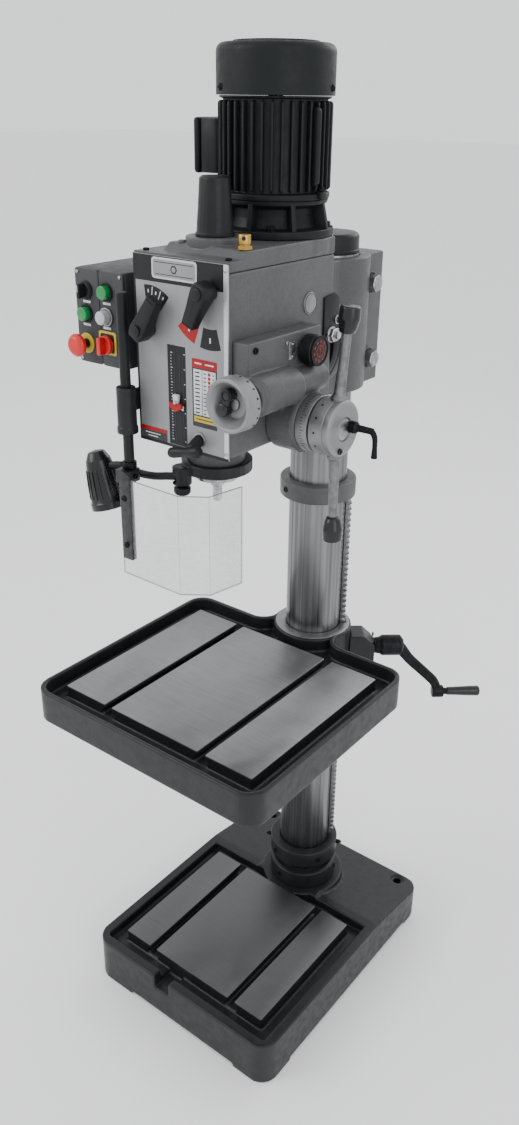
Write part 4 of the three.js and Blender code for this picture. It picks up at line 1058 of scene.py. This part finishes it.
def build_feed():
    extra = cyl("y", *WHEEL, 31, -398, -292, 7, 64, 5)
    cast("feed_gear_case", "feed_gearbox", 1.7, 3, "cast_grey", extra=extra)
    trim = bmesh.new()
    for y, z in ((-380, 1492), (-222, 1398), (-380, 1400)):
        both(trim, socket_screw("x", y, z, 5.2, 131, 1, 3))
    add(trim, 1, cyl("x", -300, 1490, 3.4, 130.5, 134))
    add(trim, 2, rbox(131, 131.9, -294, -276, 1462, 1490, 0.4, 2, 0.2))
    for z in (1486, 1466):
        add(trim, 1, dome_screw("x", -285, z, 1.8, 131.8, 1))
    add(trim, 3, rbox(130.8, 131.6, -330, -302, 1392, 1406, 0.4, 2, 0.2))
    for y in (-327, -305):
        add(trim, 1, dome_screw("x", y, 1399, 1.6, 131.5, 1))
    add(trim, 3, ring("y", *WHEEL, 33.5, 22, -424.4, -419, 0.8, 64))
    make("feed_case_trim", trim, ["dark_steel", "steel", "zinc", "p_black"])
    scale = hollow([(8.8, 154.3), (48, 154.3, 1), (48, 176.4, 1), (8.8, 176.4)], 1, 3, "x", *HUB)
    add(scale, 1, ticks(*HUB, 48, 163, 60, 8, 0.9))
    make("feed_graduated_ring", scale, ["hub", "p_black"], "feed_hub", "feed_scale_ring",
         angle=30)
    hub = hollow([(8.8, 176.8), (44.5, 176.8), (44.5, 179.4), (47, 179.6, 0.8), (47, 205, 1),
            (45.6, 205.6), (45.6, 206.6), (47, 207, 1), (47, 217, 4), (40, 220, 2), (20, 220, 1),
            (19, 217.5, 1), (8.8, 217.5)], 0.6, 4, "x", *HUB)
    for f in hub.faces:
        if f.calc_center_median().x > 206.7:
            f.material_index = 1
        elif f.calc_center_median().x < 179.5:
            f.material_index = 2
    dimples(hub, 2, "x", *HUB, 46.4, 191, 30, 2, 0.9, 16)
    add(hub, 2, socket_screw("x", -270, 1322, 5.4, 219, 1, 4))
    add(hub, 3, cyl("x", *HUB, 18, 215, 218.5))
    make("feed_hub_drum", hub, ["hub", "hub", "p_black", "zinc"], "feed_hub", "feed_hub",
         angle=30)

    def reach(side, d):
        """The point on a feed lever's centre line at distance d from the hub's axis."""
        return (204 + 0.06 * (d - 47), HUB[0] + side * 0.055 * d, HUB[1] + side * d)

    for name, side in (("upper", 1), ("lower", -1)):
        rod = stick(reach(side, 47), reach(side, 158), fillet([(0, -4), (13, -4, 1), (13, 4, 2),
                (9.6, 8, 3), (8.0, 60), (7.6, 111), (0, 111)]), 40)
        add(rod, 1, stick(reach(side, 153), reach(side, 195), fillet([(0, 0), (11, 0, 3), (14.5, 7, 8),
                (17.6, 22, 12), (16.4, 42.1, 4), (0, 42.1)], 3, 6), 48))
        make("feed_arm_" + name, rod, ["lever", "black_gloss"], "feed_hub", "feed_lever_" + name)
    lock = turning([(0, 217), (10, 217, 0.5), (10, 230, 2), (6, 233, 1), (5.4, 262, 2), (0, 262)], 1, 3,
            "x", -237, 1356, 32)
    both(lock, tube([(248, -237, 1356), (259, -237, 1355), (265, -237, 1346), (266, -237, 1330),
            (266, -237, 1312)], [5.2, 5.2, 4.6, 4.2, 5.4], 20, 6))
    make("hub_ratchet_lever", lock, "dark_steel", "hub_lock", "hub_lock_lever")
    knob = turning([(0, 131.4), (7, 131.4), (7, 137), (25, 137, 1), (25, 157, 2.5), (22, 160, 1),
            (0, 160)], 1, 4, "x", *RATE_DIAL, 72,
            flutes(24, 0.018, 139, 155))
    add(knob, 1, ring("x", *RATE_DIAL, 24.4, 20.6, 158.5, 161.6, 0.8, 64))
    add(knob, 0, cyl("x", *RATE_DIAL, 20.8, 159, 160.9, 0.4, 64))
    for i in range(10):
        t = math.radians(36 * i + 10)
        add(knob, 2, rbox(160.7, 161.4, -251.6 + 15.5 * math.cos(t), -248.4 + 15.5 * math.cos(t),
                1471 + 15.5 * math.sin(t), 1475 + 15.5 * math.sin(t), 0.3, 1, 0.1))
    add(knob, 2, ring("x", *RATE_DIAL, 9.4, 8.2, 160.6, 161.3, 0.2),
        rbox(160.7, 161.5, -251, -249, 1473, 1482, 0.3, 1, 0.1))
    make("feed_rate_dial", knob, ["black", "dark_steel", "p_red"], "feed_rate",
         "feed_rate_knob")
    wheel = hollow([(9.2, -437), (22, -437, 4), (35, -455, 2), (37, -457, 1.5), (42, -457, 2.5),
            (43, -430, 2), (40, -425, 1.5), (9.2, -425)], 1, 4, "y", *WHEEL)
    both(wheel, cyl("y", *WHEEL, 9, -440, -436, 1.2))
    dimples(wheel, 1, "y", *WHEEL, 42.3, -434, 20, 1.8, 1.0, 14)
    make("fine_feed_cup", wheel, ["wheel", "p_black"], "fine_feed", "fine_feed_handwheel",
         angle=30)
    grip = cyl("y", 133, 1438, 9.6, -437.4, -453, 1.2)
    add(grip, 1, ring("y", 133, 1438, 8.2, 6.4, -452.6, -453.6, 0.3))
    both(grip, cyl("y", 124.5, 1415, 11, -439, -455, 4, 40, 4))
    both(grip, peg((133, -444, 1438), (125, -446, 1415), 7.5, 24, 24))
    make("folding_grip", grip, ["black_gloss", "dark_steel"], "folding_handle",
         "handwheel_handle")


# ---- electrics -----------------------------------------------------------------------------


def build_controls():
    steel, black, yellow, zinc, white = range(1, 6)
    face, seat = -384.9, -373.4
    box = rbox(-256, -141.3, -380, -235, 1417, 1577, 6, 4, 3)
    both(box, prism(rectangle(-256, -199.4, 1417, 1577, 6), -385, -380.4, "y", 1.8),
         prism(rectangle(-198.6, -141.3, 1417, 1577, 6), -385, -380.4, "y", 1.8))
    both(box, rbox(-142, -98.6, -350, -245, 1426, 1569, 3, 3, 1.2))
    for x, z in ((-249, 1570), (-148, 1570), (-249, 1424), (-148, 1424)):
        add(box, steel, dome_screw("y", x, z, 3.2, -384.8, -1))
    add(box, black, cyl("z", -215, -300, 12, 1406, 1418, 1.5), cyl("z", -180, -300, 9, 1408, 1418, 1.5))
    add(box, yellow, prism(rectangle(-203, -162, 1438, 1478, 4), -387, -384.8, "y"))
    add(box, black, prism(rectangle(-199, -166, 1442, 1474, 4), -387.4, -386.6, "y", 0.3))
    add(box, yellow, ring("y", *STOP, 17.5, 8, face, -387, 0.6, 64))
    for x, z in ((-229, 1541), (-181, 1543), (-232, 1502), (-183, 1502)):
        add(box, zinc if (x, z) == (-183, 1502) else black,
            ring("y", x, z, 15.6, 12.4, face, -388.4, 1.0, 56))
    for x, z in ((-229, 1522), (-181, 1524), (-232, 1483), (-183, 1483)):
        add(box, white, prism(rectangle(x - 9, x + 9, z - 2, z + 2, 1), -385.5, face, "y", 0.2, 1))
    make("electric_box", box, ["box_grey", "steel", "black", "p_yellow", "zinc", "p_white"],
         stands_for="control_box")
    for body, x, z, tall, colour in (("start", -181, 1543, 13, "green"), ("jog", -232, 1502, 13, "green"),
            ("coolant", -183, 1502, 17, "white")):
        cap = turning([(0, seat), (11.6, seat), (11.6, -385 - tall, 2.2), (0, -385.6 - tall)], 1, 5,
                "y", x, z, 56)
        make(body + "_push", cap, colour, body, body + "_button")
    stop = turning([(0, seat), (8, seat), (8, -403), (19, -405, 2), (20, -412, 4), (14, -418.5, 8),
            (0, -419)], 1, 5, "y", *STOP)
    for f in stop.faces:
        if f.calc_center_median().y > -402:
            f.material_index = 1
    make("stop_mushroom", stop, ["red", "black"], "stop", "stop_button", angle=45)
    dial = turning([(0, seat), (13, seat), (13, -389, 1), (10, -391, 1), (0, -391)], 1, 4, "y", -229,
            1541, 48)
    both(dial, plate([(-232.6, 1529), (-225.4, 1529), (-225.4, 1553.5), (-232.6, 1553.5)], 3, 4, -406,
            -390, "y", 1.6, 3))
    add(dial, 1, prism(rectangle(-229.9, -228.1, 1540, 1552, 0.6), -406.5, -405.7, "y", 0.1, 1))
    make("mode_switch", dial, ["black", "p_white"], "selector", "selector_knob")
    main = turning([(0, seat), (12, seat), (12, -388), (16, -389, 1), (16, -397, 2), (0, -397)], 1, 4,
            "y", -182, 1456, 56)
    both(main, plate([(-186.5, 1441), (-177.5, 1441), (-177.5, 1471), (-186.5, 1471)], 3, 4, -410.5, -396,
            "y", 2.0, 3))
    make("main_isolator", main, "red", "isolator", "isolator_knob")


# ---- guard, ring and lamp ------------------------------------------------------------------


def build_guard():
    post = turning([(0, 1246), (9, 1246, 1), (9, 1553, 0), (9, 1558, 4), (0, 1558)], 1, 4, "z", *POST, 40)
    add(post, 1, hollow([(9.1, 1263), (12.6, 1263, 1), (12.6, 1274, 1), (9.1, 1274)], 1, 3, "z", *POST,
            40))
    make("guard_rod", post, ["black", "dark_steel"], "guard_post", "guard_post")
    cast("guard_bracket", "guard_sleeve", 1.3, 2, "cast_dark")
    strip = plate([(-107, 1100), (-84, 1100), (-84, 1258, 2), (-107, 1269, 5)], 2, 4, -449.6, -446.6, "y")
    both(strip, rbox(-87, -84.4, -449, -438, 1100, 1256, 1.0))
    both(strip, rbox(-120, -92.2, -446.4, -412.2, 1239, 1262, 3, 4, 1.4))
    for z in (1215, 1127):
        add(strip, 1, dome_screw("y", -97, z, 5.5, -449.2, -1), cyl("y", -97, z, 3, -449, -436),
            polygon_bar("y", -97, z, 6, 9, -441, -437, 0.5))
    add(strip, 1, socket_screw("x", -426, 1250, 4.5, -92.4, 1, 4))
    make("guard_bar", strip, ["galvanised", "dark_steel"], "guard", "guard_strip")
    dress("chip_guard", "clear", 0.5)
    edge = bmesh.new()
    line = [(-112, -443), (24, -446), (66, -416), (78, -345)]
    for z in (1067.6, 1248.4):
        for a, b in zip(line, line[1:]):
            both(edge, tube([(*a, z), (*b, z)], 0.9, 8, 2))
    for i, (x, y) in enumerate(line):
        both(edge, tube([(x, y, 1067.6), (x, y, 1248.4)], 0.8 if i in (0, 3) else 0.3, 8, 2))
    make("guard_edges", edge, "clear_edge", "guard")
    cast("lamp_ring_casting", "lamp_ring", 1.3, 2, "cast_dark")
    knob = turning([(0, 1219), (12, 1219, 2), (14.4, 1223, 2), (14.4, 1232, 2), (8, 1234.5, 2),
            (5.5, 1238), (5.5, 1262), (0, 1262)], 1, 3, "z", *RING_LUG, 60,
            flutes(15, 0.03, 1220.5, 1233))
    make("ring_knob", knob, "black", "ring_clamp", "ring_clamp_knob")
    dress("lamp_arm", "black", 0.3)
    foot = Vector((-169.3, -414.9, 1170.4))
    top = Vector((-194.9, -416.1, 1261.0))
    profile = fillet([(31.6, 0.3), (33.4, 0.3), (33.4, 12, 2), (31.6, 14), (30, 32, 8), (27.6, 52),
            (25, 74, 8), (22.5, 88, 8), (15, 103, 6), (0, 106), (0, 100), (17, 84, 6), (22, 60, 6),
            (27, 34, 6), (31.6, 0.3)], 0, 4)
    shade_bm = stick(foot, top, profile, 64)
    turn = Vector((0, 0, 1)).rotation_difference(top - foot).to_matrix()
    rib = fillet([(26, 22), (32.6, 20, 2), (30, 50, 8), (27, 72, 2), (20, 76)], 1, 3, True)
    for i in range(18):
        web = spin(prism(rib, -1.1, 1.1, "y", 0.7), 20 * i)
        bmesh.ops.rotate(web, verts=web.verts, matrix=turn)
        both(shade_bm, shift(web, *foot))
    both(shade_bm, peg((-170.6, -411.5, 1247.2), (-195, -412.8, 1237.3), 6.6, 24, 24))
    add(shade_bm, 1, stick(foot, top, fillet([(0, 8), (9, 12, 6), (15, 24, 8), (13, 42, 8), (8, 56),
            (8, 70), (0, 70)], 3, 5), 40))
    make("lamp_shell", shade_bm, ["black_gloss", "bulb"], "lamp", "lamp_shade", angle=40)


def build_inside():
    inside = {"quill": "steel", "spindle": "steel", "drill_arbor": "steel",
              "spindle_bearing_lower": "steel", "spindle_bearing_upper": "steel",
              "spindle_drive_gear": "dark_steel", "countershaft": "dark_steel", "motor_rotor": "zinc",
              "feed_pinion_shaft": "steel", "feed_worm_wheel": "brass", "feed_worm_shaft": "dark_steel"}
    for node, material in inside.items():
        dress(node, material, 0.5 if node == "quill" else 0.3)


def stage():
    bm = bmesh.new()
    bmesh.ops.create_grid(bm, x_segments=1, y_segments=1, size=45.0)
    shift(bm, 0, 0, -0.0006)
    obj = new_object("floor", new_mesh("floor", bm))
    obj.data.materials.append(M["floor"])


make_materials()
build_stand()
build_table()
build_head()
build_motor()
build_panel()
build_levers()
build_feed()
build_controls()
build_guard()
build_inside()
stage()
light_scene()
aim_camera()
